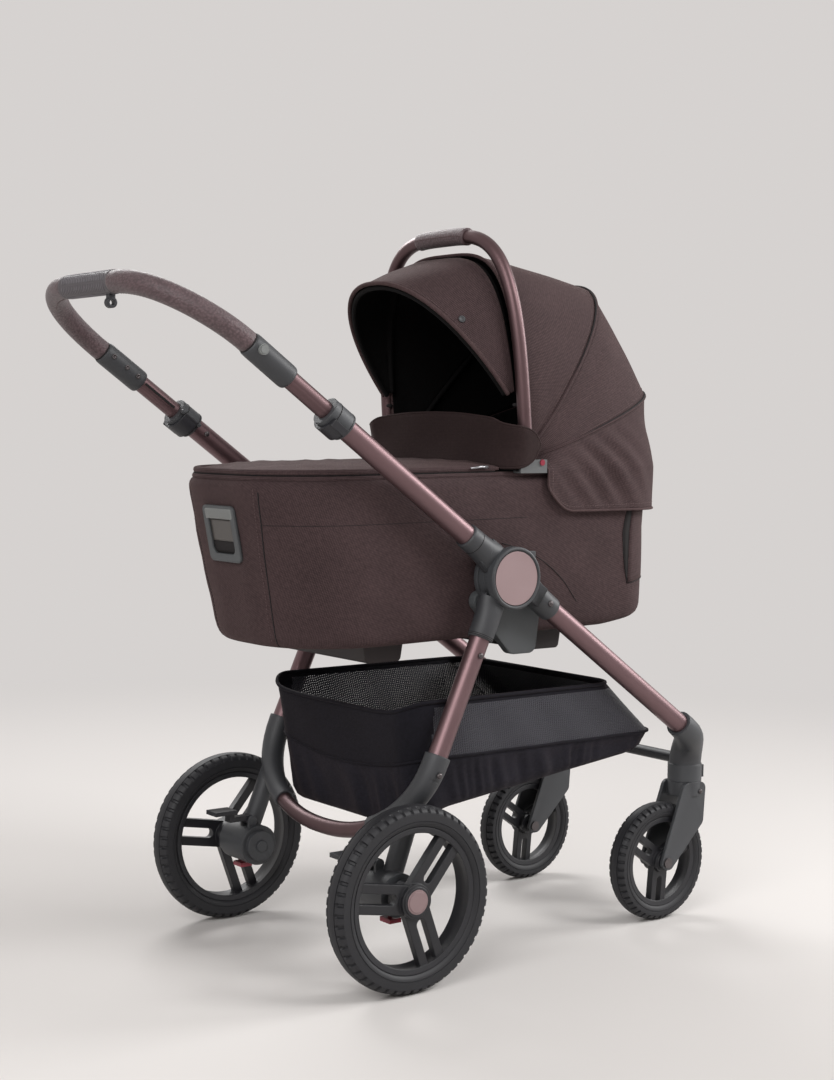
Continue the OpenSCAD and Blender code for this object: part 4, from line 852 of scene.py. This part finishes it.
for name, line, radius, look, body, slot in (
    ("brim_piping", arch(BRIM, grow=-0.0005), 0.0036, "trim", "visor", "brown_fabric"),
    ("brim_hoop", arch(BRIM, grow=-0.010), 0.004, "shaded_lining", "visor", "dark_fabric"),
    ("rear_seam_ridge", arch(REAR, grow=0.0002), 0.0034, "canvas", "hood_hoop", "brown_fabric"),
    ("rear_hoop", arch(REAR, grow=-0.008), 0.004, "shaded_lining", "hood_hoop", "dark_fabric"),
    ("skirt_seam_ridge", arch(SKIRT, grow=0.0002), 0.0026, "canvas", "bassinet", "brown_fabric"),
    ("main_panel_edge", arch(CROWN, turn=-0.5), 0.0022, "trim", "carry_bow", "brown_fabric"),
):
    tube(name, line, radius, look, body, sides=10)
for name, line, body in (
    ("rear_seam_stitch", main_grid[1], "hood_hoop"),
    ("skirt_seam_stitch", rear_grid[1], "bassinet"),
    ("brim_stitch", visor_rows[-2], "visor"),
):
    heap(name, stitches(line[6:-6]), "thread", body)
for name, line, body in (
    ("rear_seam_groove", arch(REAR, grow=0.0012, turn=0.5), "hood_hoop"),
    ("skirt_seam_groove", arch(SKIRT, grow=0.0008, turn=0.4), "bassinet"),
):
    tube(name, line, 0.0015, "shadow", body, sides=6)

# A press stud on each side of the visor

studs = []
for _, side in SIDES:
    away = np.linalg.norm(visor_rows - at(182, side * 150, 1035), axis=2)
    row, col = divmod(int(np.argmin(away)), HOOD_COLS)
    spot = visor_rows[row, col]
    across = visor_rows[row, col + 1] - visor_rows[row, col - 1]
    down = visor_rows[row + 1, col] - visor_rows[row - 1, col]
    face_out = np.cross(across, down)
    face_out /= np.linalg.norm(face_out)
    face_out *= np.sign(np.dot(face_out, spot - HOOD_MIDDLE))
    studs.append(fastener(spot, face_out, 0.0058, STUD))
heap("visor_studs", studs, "charcoal", "visor")

# Skirt: its hem runs along one side, round the head end and back along the other side

SKIRT_COLS, FOLD_DEPTH = 193, 0.0055
HEM_Z, HEM_LIFT, HEM_RUN, RIM_CLEAR = 0.726, 0.040, 0.06, 0.006
u = np.linspace(0, 1, SKIRT_COLS)
front, head, half, corner = 0.323 + AXLE, HEAD + 0.018, HALF + 0.008, 0.109
run = head - corner - front
bend = corner * math.pi / 2
total = 2 * (run + bend + half - corner)
away = np.minimum(u, 1 - u)
m = away * total
sign = np.where(u <= 0.5, 1.0, -1.0)
angle = np.clip((m - run) / bend, 0, 1) * math.pi / 2
hem_x = np.where(m < run, front + m, head - corner + corner * np.sin(angle))
hem_y = np.where(m < run, half, half - corner + corner * np.cos(angle))
hem_y = sign * np.where(m < run + bend, hem_y, half - corner - (m - run - bend))
hem_z = HEM_Z + HEM_LIFT * np.maximum(0, 1 - away / HEM_RUN) ** 2
top_x, top_y, top_z = arch(SKIRT, count=SKIRT_COLS).T
t = np.linspace(0.004, 1, 33)[:, None]
z = top_z + (hem_z - top_z) * t
clear_z = rim_height(hem_x) + RIM_CLEAR
out = np.clip((top_z - z) / np.maximum(top_z - clear_z, 0.008), 0, 1)
out = out + 0.10 * np.sin(math.pi * out)
fold = np.sin(118 * away - 13.0 * t + 0.4) * np.exp(-(((away - 0.13) / 0.10) ** 2))
fold = fold + 0.4 * np.sin(52 * away - 4.0 * t) * np.exp(-(((away - 0.25) / 0.15) ** 2))
fold = FOLD_DEPTH * fold * np.sin(math.pi * t) ** 0.7 * np.sin(math.pi * u) ** 0.5
nx = np.where(m < run, 0.0, np.sin(angle))
ny = sign * np.where(m < run, 1.0, np.cos(angle))
x = top_x + (hem_x - top_x) * out + nx * fold
y = top_y + (hem_y - top_y) * out + ny * fold
grid = np.stack([x, y, z], 2)
skirt = sheet("skirt_cloth", grid, ["canvas", "shaded_lining"], thick=0.0026)
mount(skirt, "bassinet", ("hood_skirt",))
hem = resample(np.concatenate([grid[4:, 0], grid[-1, 1:-1], grid[4:, -1][::-1]]), 0.006)
tube("skirt_hem", hem, 0.0021, "trim", "bassinet")
hem_row = np.concatenate([grid[6:30, 2], grid[-3, 3:-3], grid[6:30, -3][::-1]])
heap("skirt_hem_stitch", stitches(hem_row), "thread", "bassinet")

# Basket: a gathered pouch up to its middle level, plain panels from there to its rim

TUBE_GAP = 0.0003
B_REAR, B_FRONT, B_HALF = 0.040 + AXLE, 0.612 + AXLE, TUBE_Y - TUBE_R - TUBE_GAP
B_FLOOR, B_GATHER, B_RIM = 0.242, 0.340, 0.432
FLOOR_SAG, GATHER_SAG, RIM_SAG = 0.060, 0.034, 0.022
FLOOR_SLOPE = math.tan(math.radians(7))
MID_LEVEL = 0.5
B_LEVELS = [0.0, 0.02, 0.06, 0.12, 0.18, 0.25, 0.32, 0.38, 0.43, 0.47, 0.49]
B_LEVELS += [MID_LEVEL, 0.51, 0.56, 0.64, 0.72, 0.8, 0.88, 0.95, 1.0]
B_EASE = {0.0: 0.014, 0.02: 0.008, 0.06: 0.003}


def basket_floor(x):
    rear = np.maximum(0, 1 - (x - B_REAR) / 0.110)
    return B_FLOOR + (x - B_REAR) * FLOOR_SLOPE - FLOOR_SAG * rear**2


def rear_share(x):
    return np.clip(1 - (x - B_REAR) / 0.06, 0, 1)


def gather_line(x, y):
    """Height of the binding between the pouch and the panels above it."""
    return B_GATHER - GATHER_SAG * rear_share(x) * (1 - (y / B_HALF) ** 2)


def rim_line(x, y):
    """Height of the rim, which sags between the legs at the rear."""
    return B_RIM - RIM_SAG * rear_share(x) * (1 - np.abs(y / B_HALF) ** 6)


def basket_ring(level, inset):
    pouch = level < MID_LEVEL
    lean = 0.042 - 0.036 * level if pouch else 0.024 + 0.216 * (level - MID_LEVEL)
    half = B_HALF - inset - 0.014 * (1 - level)
    r = 0.046 - inset * 0.5
    rear, front = B_REAR + inset + 0.026 * (1 - level), B_FRONT - inset - lean
    p = rounded(rear, front, half, r, r, (20, 14, 110, 14, 44))
    x, y = p.T
    low, knee = basket_floor(x), gather_line(x, y)
    if pouch:
        z = low + (knee - low) * level * 2
    else:
        z = knee + (rim_line(x, y) - knee) * (level * 2 - 1)
    return np.concatenate([p, z[:, None]], 1)


rings = [basket_ring(0.0, inset) for inset in (0.11, 0.07, 0.035)]
BELOW = len(rings)
grid = np.array(rings + [basket_ring(v, B_EASE.get(v, 0.0)) for v in B_LEVELS])
cols = grid.shape[1]
edge_out = np.roll(grid, -1, 1) - np.roll(grid, 1, 1)
edge_out = np.stack([edge_out[..., 1], -edge_out[..., 0], 0 * edge_out[..., 0]], 2)
edge_out /= np.maximum(np.linalg.norm(edge_out, axis=2), 1e-9)[..., None]
level = np.array([0] * BELOW + B_LEVELS)[:, None]
j = np.arange(cols)[None, :]
way = j * 0.42 + 1.6 * np.sin(j * 0.13) + 4.5 * level
pleat = np.sin(way) * (0.6 + 0.4 * np.sin(j * 0.071 + 1))
pleat = pleat + 0.45 * np.sin(2.3 * way + 2 * np.sin(j * 0.19))
pleat = pleat * np.clip((0.5 - level) / 0.08, 0, 1) * np.clip((level - 0.01) / 0.1, 0, 1)
soft = np.sin(j * 0.21 + 4 * level)
soft = soft * np.clip((1 - level) / 0.2, 0, 1) * np.clip(level / 0.1, 0, 1)
inward = 0.0030 * (1.2 - pleat) * np.clip((0.52 - level) / 0.2, 0, 1) + 0.001 * (1 - soft)
grid = grid - edge_out * inward[..., None]
basket = sheet("basket_cloth", grid, ["pleat", "band", "net"], close=True, caps=(0,))
solid = basket.modifiers.new("thickness", "SOLIDIFY")
solid.thickness = 0.0012
solid.offset = -1.0
for face in basket.data.polygons:
    row = face.index // cols - BELOW
    if 0 <= row < len(B_LEVELS) and B_LEVELS[row] >= MID_LEVEL:
        rear_wall = face.center.x < B_REAR + 0.05
        face.material_index = 1 if rear_wall or B_LEVELS[row] > 0.94 else 2
mount(basket, "chassis", ("storage_basket",))
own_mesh(basket)
mid_row = BELOW + B_LEVELS.index(MID_LEVEL)
line = grid[mid_row] + edge_out[mid_row] * 0.0008
binding = tube("basket_binding", line, 0.0022, "band", "chassis", close=True)
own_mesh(binding)
tube("basket_rim_binding", grid[-1], 0.0032, "band", "chassis", close=True)

# Handlebar

GRIP_R = 0.017
BAR = at(-398, 75, 1066)
CURVE = (line_point(0.604), line_point(0.662), BAR + [0, 0.104, 0], BAR + [0, 0.004, 0])
for side_name, side in SIDES:
    path = np.concatenate([[line_point(0.600)], bezier(*CURVE, 62), [BAR]]) * np.array([1, side, 1])
    stands_for = ("handlebar_grip",) if side > 0 else ()
    name = f"handlebar_wrap_{side_name}"
    tube(name, path, GRIP_R, "leather", "handle_upper", 28, replaces=stands_for)
    row = path - np.array([0, 0, 1.0]) * (GRIP_R + 0.0002)
    name = f"handlebar_stitch_{side_name}"
    heap(name, stitches(row[3:-3], *GRIP_STITCH), "thread", "handle_upper")
    ends = [line_point(0.5985, side), line_point(0.6012, side)]
    name = f"handlebar_joint_{side_name}"
    tube(name, ends, GRIP_R + 0.0003, "shadow", "handle_upper", 28)

y = np.linspace(-0.075, 0.075, 61)
bar = np.stack([0 * y + BAR[0], y, 0 * y + BAR[2]], 1)
flare = GRIP_R + 0.0009 * (np.abs(y) > 0.0702)
centre = ("centre_grip",)
tube("centre_grip_rubber", bar, flare, "grip", "handle_upper", 32, replaces=centre)
RIB_R, RIB_PITCH, RIB_LEAN = GRIP_R + 0.0004, 0.0054, 0.0035
ribs = []
for k in range(-12, 13):
    for lane in range(6):
        lean = RIB_LEAN if lane % 2 else -RIB_LEAN
        first = math.radians(60 * lane + 6)
        a = np.linspace(first, first + math.radians(48), 5)
        y = RIB_PITCH * k + np.linspace(-lean, lean, 5)
        path = np.stack([BAR[0] + RIB_R * np.cos(a), y, BAR[2] + RIB_R * np.sin(a)], 1)
        grid = tube_grid(path, [0.0004, 0.001, 0.001, 0.001, 0.0004], 5)
        ribs.append((grid.reshape(-1, 3), wall_faces(5, 5)))
heap("centre_grip_ribs", ribs, "rib", "handle_upper")

# Carry bow and its grip

line = arch(BOW, start=0.008, count=141)
bow_node = ("carry_bow",)
tube("carry_bow_tube", line, 0.0115, "bronze", "carry_bow", 24, replaces=bow_node)
feet = [PIVOT + [0, side * BOW[2] - 0.007, 0] for _, side in SIDES]
eyes = [drum(foot, (0, 1, 0), 0.012, 0.014, 32) for foot in feet]
heap("carry_bow_eyes", eyes, "bronze", "carry_bow")
pins = [drum(VISOR_PIVOT + [0, side * 0.169, 0], (0, side, 0), 0.003, 0.015) for _, side in SIDES]
heap("visor_pins", pins, "shadow", "carry_bow")
top = line[np.abs(line[:, 1]) < 0.066]
wrap = resample(top, 0.003)
grip_node = ("bow_grip",)
tube("bow_wrap", wrap, 0.0146, "leather", "carry_bow", 28, replaces=grip_node)
row = stitches(top + np.array([-0.0148, 0, 0.0]), *GRIP_STITCH)
heap("bow_stitch", row, "thread", "carry_bow")

# Cross tube between the rear legs

LOW_D = (leg_point(0)[2] - 0.145 - 0.063) / math.cos(LEG_ANGLE)
CROSS_POWER = 2.2
y = np.linspace(-0.150, 0.150, 81)
share = np.minimum(1, np.abs(y) / TUBE_Y)
d = LOW_D - 0.150 * (1 - np.maximum(0, 1 - share**CROSS_POWER) ** (1 / CROSS_POWER))
line = leg_point(0)[None] + d[:, None] * LEG_DOWN
line[:, 1] = y
cross_node = ("rear_cross_tube",)
tube("cross_tube", line, 0.013, "bronze", "rear_legs", 28, replaces=cross_node)

# Tyres: height over the bead, or depth under the tread in shares of the width, and share across

SIDEWALL = ((0, -0.38), (0.002, -0.44), (0.006, -0.488), (0.0083, -0.497), (0.0087, -0.476))
SIDEWALL += ((0.0097, -0.476), (0.0102, -0.5))
BLOCKS = ((0.30, -0.5), (0.24, -0.5), (0.19, -0.485), (0.12, -0.42), (0.08, -0.36))
BLOCKS += ((0.055, -0.30), (0.03, -0.235))
GROOVE = ((0.03, -0.225), (0.03, -0.20))
TREAD = ((0.024, -0.19), (0.008, -0.1), (0, 0))
GROOVE_DEPTH, NOTCH, LUG_STEPS, NOTCH_STEPS = 0.003, 0.0028, 10, 3


def tyre(name, node_name, lugs, body):
    """A tyre with notched shoulder blocks, on the same axle as its frame node."""
    lo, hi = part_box(node_name)
    centre = np.array((lo + hi) / 2)
    r, w = (hi.z - lo.z) / 2, hi.y - lo.y
    bead = r - (0.032 if r > 0.12 else 0.025)
    profile = [(bead + h, b) for h, b in SIDEWALL] + [(r - k * w, b) for k, b in BLOCKS]
    profile += [(r - k * w - GROOVE_DEPTH, b) for k, b in GROOVE]
    profile += [(r - k * w, b) for k, b in TREAD]
    profile += [(radius, -b) for radius, b in reversed(profile[:-1])]
    steps = lugs * LUG_STEPS
    a = np.linspace(0, 2 * math.pi, steps, endpoint=False)
    rows = []
    for radius, across in profile:
        shoulder = 0.24 < abs(across) < 0.495 and radius > r - 0.23 * w
        offset = LUG_STEPS // 2 if across > 0 else 0
        cut = (np.arange(steps) + offset) % LUG_STEPS < NOTCH_STEPS
        notch = np.where(cut & shoulder, NOTCH, 0.0)
        x, z = (radius - notch) * np.cos(a), (radius - notch) * np.sin(a)
        y = centre[1] + across * w - np.sign(across) * notch * 0.6
        rows.append(np.stack([centre[0] + x, y, centre[2] + z], 1))
    obj = sheet(name, np.array(rows + rows[:1]), ["rubber"], close=True)
    obj.data.set_sharp_from_angle(angle=math.radians(50))
    mount(obj, body, (node_name,))


for side, _ in SIDES:
    for end, lugs in (("rear", 54), ("front", 46)):
        tyre(f"{end}_tread_{side}", f"{end}_tyre_{side}", lugs, f"{end}_wheel_{side}")

# Frame pieces

dress(["front_leg_tubes", "handle_tubes", "handle_inner_tubes", "rear_leg_tubes"], "bronze")
dress(["hub_covers"] + both("rear_hub_cap"), "cover")
dress(["hub_housings", "handle_knuckles", "rear_leg_fittings", "front_elbows"], "charcoal")
dress(["clamp_collars", "bassinet_adaptors", "rear_axles"] + both("caster_fork"), "charcoal")
dress(["bassinet_receivers", "end_bezel"], "receiver")
dress(both("handle_button"), "silver")
dress(["front_crossbar", "strap_loop"] + both("rear_rim") + both("front_rim"), "black")
dress(both("clamp_lever") + both("brake_pedal") + both("swivel_lock"), "black")
dress(["bassinet_feet"], "skid")
dress(both("wheel_release") + both("hood_button"), "red")
dress(["hood_pivots"], "pale")
dress(["fold_pivot_pins"] + both("front_axle"), "bolt")

# Foot frame: a grey pad along its top, and a window of painted shadow with a shutter

BEZEL_MID = at(-188 + 51 * 0.35, 0, 530 + 251 * 0.65)
LEAN = math.atan(0.051 / 0.251)
BEZEL_UP = np.array([-math.sin(LEAN), 0, math.cos(LEAN)])
BEZEL_OUT = np.array([-math.cos(LEAN), 0, -math.sin(LEAN)])


def dome(value, low, high, power):
    """1 in the middle of a range and 0 at its ends."""
    return 1 - ((value - (low + high) / 2) / ((high - low) / 2)) ** power


for name, y0, y1, z0, z1, lift, crown, look, slot in (
    ("bezel_pad", -0.041, 0.041, 0.0235, 0.0410, 0.0048, 0.0016, "silver", "grey_plastic"),
    # The window is painted shadow, black where the gap below the shutter lies in shade.
    ("bezel_window_shadow", -0.0335, 0.0335, -0.0325, 0.0235, 0.0010, 0.0, "shadow", "black_plastic"),
    ("bezel_shutter", -0.0320, 0.0320, -0.0120, 0.0225, 0.0022, 0.0, "plate", "grey_plastic"),
):
    y = np.linspace(y0, y1, 13)[None, :, None]
    z = np.linspace(z0, z1, 9)[:, None, None]
    out = lift + crown * dome(z, z0, z1, 4) * dome(y, y0, y1, 6)
    grid = BEZEL_MID + y * np.array([0, 1, 0]) + z * BEZEL_UP + out * BEZEL_OUT
    mount(sheet(name, grid, [look], flip=True, thick=0.0015), "bassinet")

# Moulded sleeves on the handle, and slots in its inner tubes

SLEEVE = ((0.5160, 0.0154), (0.5162, 0.0176), (0.5180, 0.0185), (0.5230, 0.0190))
SLEEVE += ((0.5900, 0.0190), (0.5965, 0.0187), (0.5988, 0.0176))
SLOT_R, SLOT_ENDS = 0.01492, (0.446, 0.512)
for side_name, side in SIDES:
    path, radii = [line_point(v, side) for v, _ in SLEEVE], [r for _, r in SLEEVE]
    stands_for = ("handle_sleeves",) if side > 0 else ()
    name, slot = f"sleeve_{side_name}", "charcoal_plastic"
    tube(name, path, radii, "charcoal", "handle_upper", 36, replaces=stands_for)
    a = np.linspace(-0.13, 0.13, 7)[:, None]
    curve = np.sin(a) * LINE_OUT + np.cos(a) * np.array([0, -side, 0])
    strip = np.array([line_point(v, side) + SLOT_R * curve for v in SLOT_ENDS])
    strip = sheet(f"tube_slot_{side_name}", strip, ["shadow"], flip=side > 0)
    mount(strip, "handle_upper")

# Necks of the fold hub: distance, half width and half depth of an arm that flares into the disc

NECK_R = 0.0206
NECK = (
    (0.0425, 0.0262, 0.0182),
    (0.0500, 0.0256, 0.0190),
    (0.0580, 0.0240, 0.0197),
    (0.0700, 0.0220, 0.0203),
    (0.0840, 0.0210, 0.0206),
    (0.1060, 0.0206, 0.0206),
    (0.1085, 0.0200, 0.0200),
    (0.1090, 0.0172, 0.0172),
)


def neck(name, point_at, along, body, plain=0):
    """An arm that flares towards the hub, except on its plain side."""
    flat_way = np.cross(along, [0, 1.0, 0])
    a = np.linspace(0, 2 * np.pi, 40, endpoint=False)
    rows = []
    for d, wide, deep in NECK:
        width = np.where(np.cos(a) * plain > 0, min(wide, NECK_R), wide)
        depth = np.sin(a)[:, None] * np.array([0, deep, 0])
        rows.append(point_at(d) + ((np.cos(a) * width)[:, None] * flat_way + depth))
    piece = sheet(name, np.array(rows), ["charcoal"], close=True, flip=True)
    mount(piece, body)


def dark_ring(name, point, axis, radius, thick, body):
    """A joint line round a tube."""
    path = ring_about(point, axis, radius)
    tube(name, path, thick, "shadow", body, sides=6, close=True)


HUB_FACE, LIP_REACH, LIP_R = 0.2478, 0.0468, 0.0030
LINE_RISE, LINE_REACH, LINE_R = 0.0010, 0.0434, 0.0008
for side_name, side in SIDES:
    neck(f"handle_neck_{side_name}", lambda d: line_point(d, side), LINE_UP, "handle_lower")
    neck(f"front_neck_{side_name}", lambda d: line_point(-d, side), -LINE_UP, "chassis", -1)
    neck(f"rear_neck_{side_name}", lambda d: leg_point(d, side), LEG_DOWN, "rear_legs", 1)
    face = HUB + [0, side * HUB_FACE, 0]
    name, slot = f"hub_lip_{side_name}", "charcoal_plastic"
    tube(name, circle(face, LIP_REACH), LIP_R, "charcoal", "chassis", 12, close=True)
    name, path = f"hub_groove_{side_name}", circle(face + [0, side * LINE_RISE, 0], LINE_REACH)
    tube(name, path, LINE_R, "shadow", "chassis", close=True)
    for k, d in enumerate((0.1062, 0.1036)):
        name, point = f"leg_socket_line_{side_name}_{k}", leg_point(d, side)
        dark_ring(name, point, LEG_DOWN, 0.0204, 0.0006, "rear_legs")
    for name, s, r, thick in (
        (f"neck_line_{side_name}", 0.0880, 0.0206, 0.0006),
        (f"clamp_line_{side_name}_0", 0.4245, 0.0230, 0.0007),
        (f"clamp_line_{side_name}_1", 0.398, 0.0228, 0.0007),
    ):
        dark_ring(name, line_point(s, side), LINE_UP, r, thick, "handle_lower")

# Fasteners: distance along the tube, height off its middle and radius


def heads(point_at, spots, way=1, form=RIVET):
    """Fasteners on both sides, outward where way is 1 and inward where it is -1."""
    made = []
    for _, side in SIDES:
        out = np.array([0, way * side, 0.0])
        made += [fastener(point_at(s, side) + out * h, out, r, form) for s, h, r in spots]
    return made


rivets = heads(line_point, ((-0.088, 0.0204, 0.0052),))
heap("socket_rivets", rivets, "bolt", "chassis")
rivets = heads(leg_point, ((0.136, 0.0168, 0.0048), (0.335, 0.0208, 0.0050)))
heap("rear_leg_rivets", rivets, "bolt", "rear_legs")
for side_name, side in SIDES:
    fork_lo, fork_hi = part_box(f"caster_fork_{side_name}")
    spot = np.array([at(686, 0, 0)[0], fork_hi.y if side > 0 else fork_lo.y, 0.222])
    rivet = fastener(spot, (0, side, 0), 0.0042)
    heap(f"fork_rivet_{side_name}", [rivet], "bolt", f"caster_{side_name}")
rivets = heads(line_point, ((0.372, 0.0168, 0.0046),), -1)
heap("handle_tube_rivets", rivets, "bolt", "handle_lower")
screws = heads(line_point, [(s, 0.0189, 0.0042) for s in (0.532, 0.556, 0.585)], -1, SCREW)
heap("sleeve_screws", screws, "bolt", "handle_upper")

# Stage

BACKGROUND = {"Color": linear("#dedad8"), "Strength": 0.92}


def seen_rays(tree):
    """1 where a ray shows the picture: from the camera, off a gloss or through a clear part."""
    ray = node(tree, "LightPath").outputs
    shown = calc(tree, "MAXIMUM", ray["Is Camera Ray"], ray["Is Glossy Ray"])
    return calc(tree, "MAXIMUM", shown, ray["Is Transmission Ray"])


floor = add_mesh("floor", [(-9, -9, 0), (9, -9, 0), (9, 9, 0), (-9, 9, 0)], [(0, 1, 2, 3)], [])
backdrop, tree, shader = start("pale_floor", Roughness=0.9, Base_Color=linear("#d9d5d2"))
position = node(tree, "NewGeometry").outputs["Position"]
reach = node(tree, "VectorMath", {0: position}, operation="LENGTH").outputs["Value"]
far = node(tree, "MapRange", {"Value": reach, "From Min": 0.9, "From Max": 3.2}).outputs["Result"]
far = calc(tree, "MULTIPLY", far, seen_rays(tree))
glow = node(tree, "Emission", BACKGROUND).outputs[0]
faded = node(tree, "MixShader", {0: far, 1: shader.outputs[0], 2: glow})
tree.links.new(faded.outputs[0], tree.nodes["Material Output"].inputs["Surface"])
floor.data.materials.append(backdrop)

world = bpy.data.worlds.new("studio")
bpy.context.scene.world = world
world.use_nodes = True
tree = world.node_tree
light = tree.nodes["Background"]
light.inputs["Color"].default_value = linear("#d6d2d0")
light.inputs["Strength"].default_value = 0.4
seen = node(tree, "Background", BACKGROUND)
blend = node(tree, "MixShader", {0: seen_rays(tree), 1: light.outputs[0], 2: seen.outputs[0]})
tree.links.new(blend.outputs[0], tree.nodes["World Output"].inputs["Surface"])

MIDDLE = Vector((0, 0, 0.6))
for name, spot, size, power in (
    ("key_light", (1.9, -2.9, 3.2), (1.6, 1.3), 85),
    ("fill_light", (-3.0, -1.9, 2.6), (2.6, 2.0), 80),
    ("rim_light", (0.6, 2.9, 2.8), (2.4, 1.0), 75),
    ("edge_light", (3.5, -1.2, 1.9), (1.6, 1.4), 75),
):
    light = bpy.data.lights.new(name, "AREA")
    light.shape = "RECTANGLE"
    light.size, light.size_y = size
    light.energy = power
    lamp = add_object(name, light)
    lamp.location = spot
    lamp.rotation_mode = "QUATERNION"
    lamp.rotation_quaternion = (MIDDLE - Vector(spot)).to_track_quat("-Z", "Y")

# The photo's camera: place in metres, and yaw, pitch and roll in degrees

CAMERA_AT, CAMERA_TURN = (-1.76404, -2.41041, 0.86129), (37.101, 3.5985, 0.5906)
camera = bpy.data.cameras.new("camera")
camera.lens = 59.755
camera.sensor_width = 36.0
camera_obj = add_object("camera", camera)
yaw, pitch, roll = (math.radians(v) for v in CAMERA_TURN)
ahead = Vector((math.sin(yaw) * math.cos(pitch), math.cos(yaw) * math.cos(pitch), -math.sin(pitch)))
right = Vector((math.cos(yaw), -math.sin(yaw), 0))
up = right.cross(ahead)
cam_x = right * math.cos(roll) + up * math.sin(roll)
cam_y = up * math.cos(roll) - right * math.sin(roll)
turn_matrix = Matrix((cam_x, cam_y, -ahead)).transposed()
camera_obj.matrix_world = Matrix.Translation(CAMERA_AT) @ turn_matrix.to_4x4()
bpy.context.scene.camera = camera_obj
bpy.context.scene.view_settings.view_transform = "Standard"
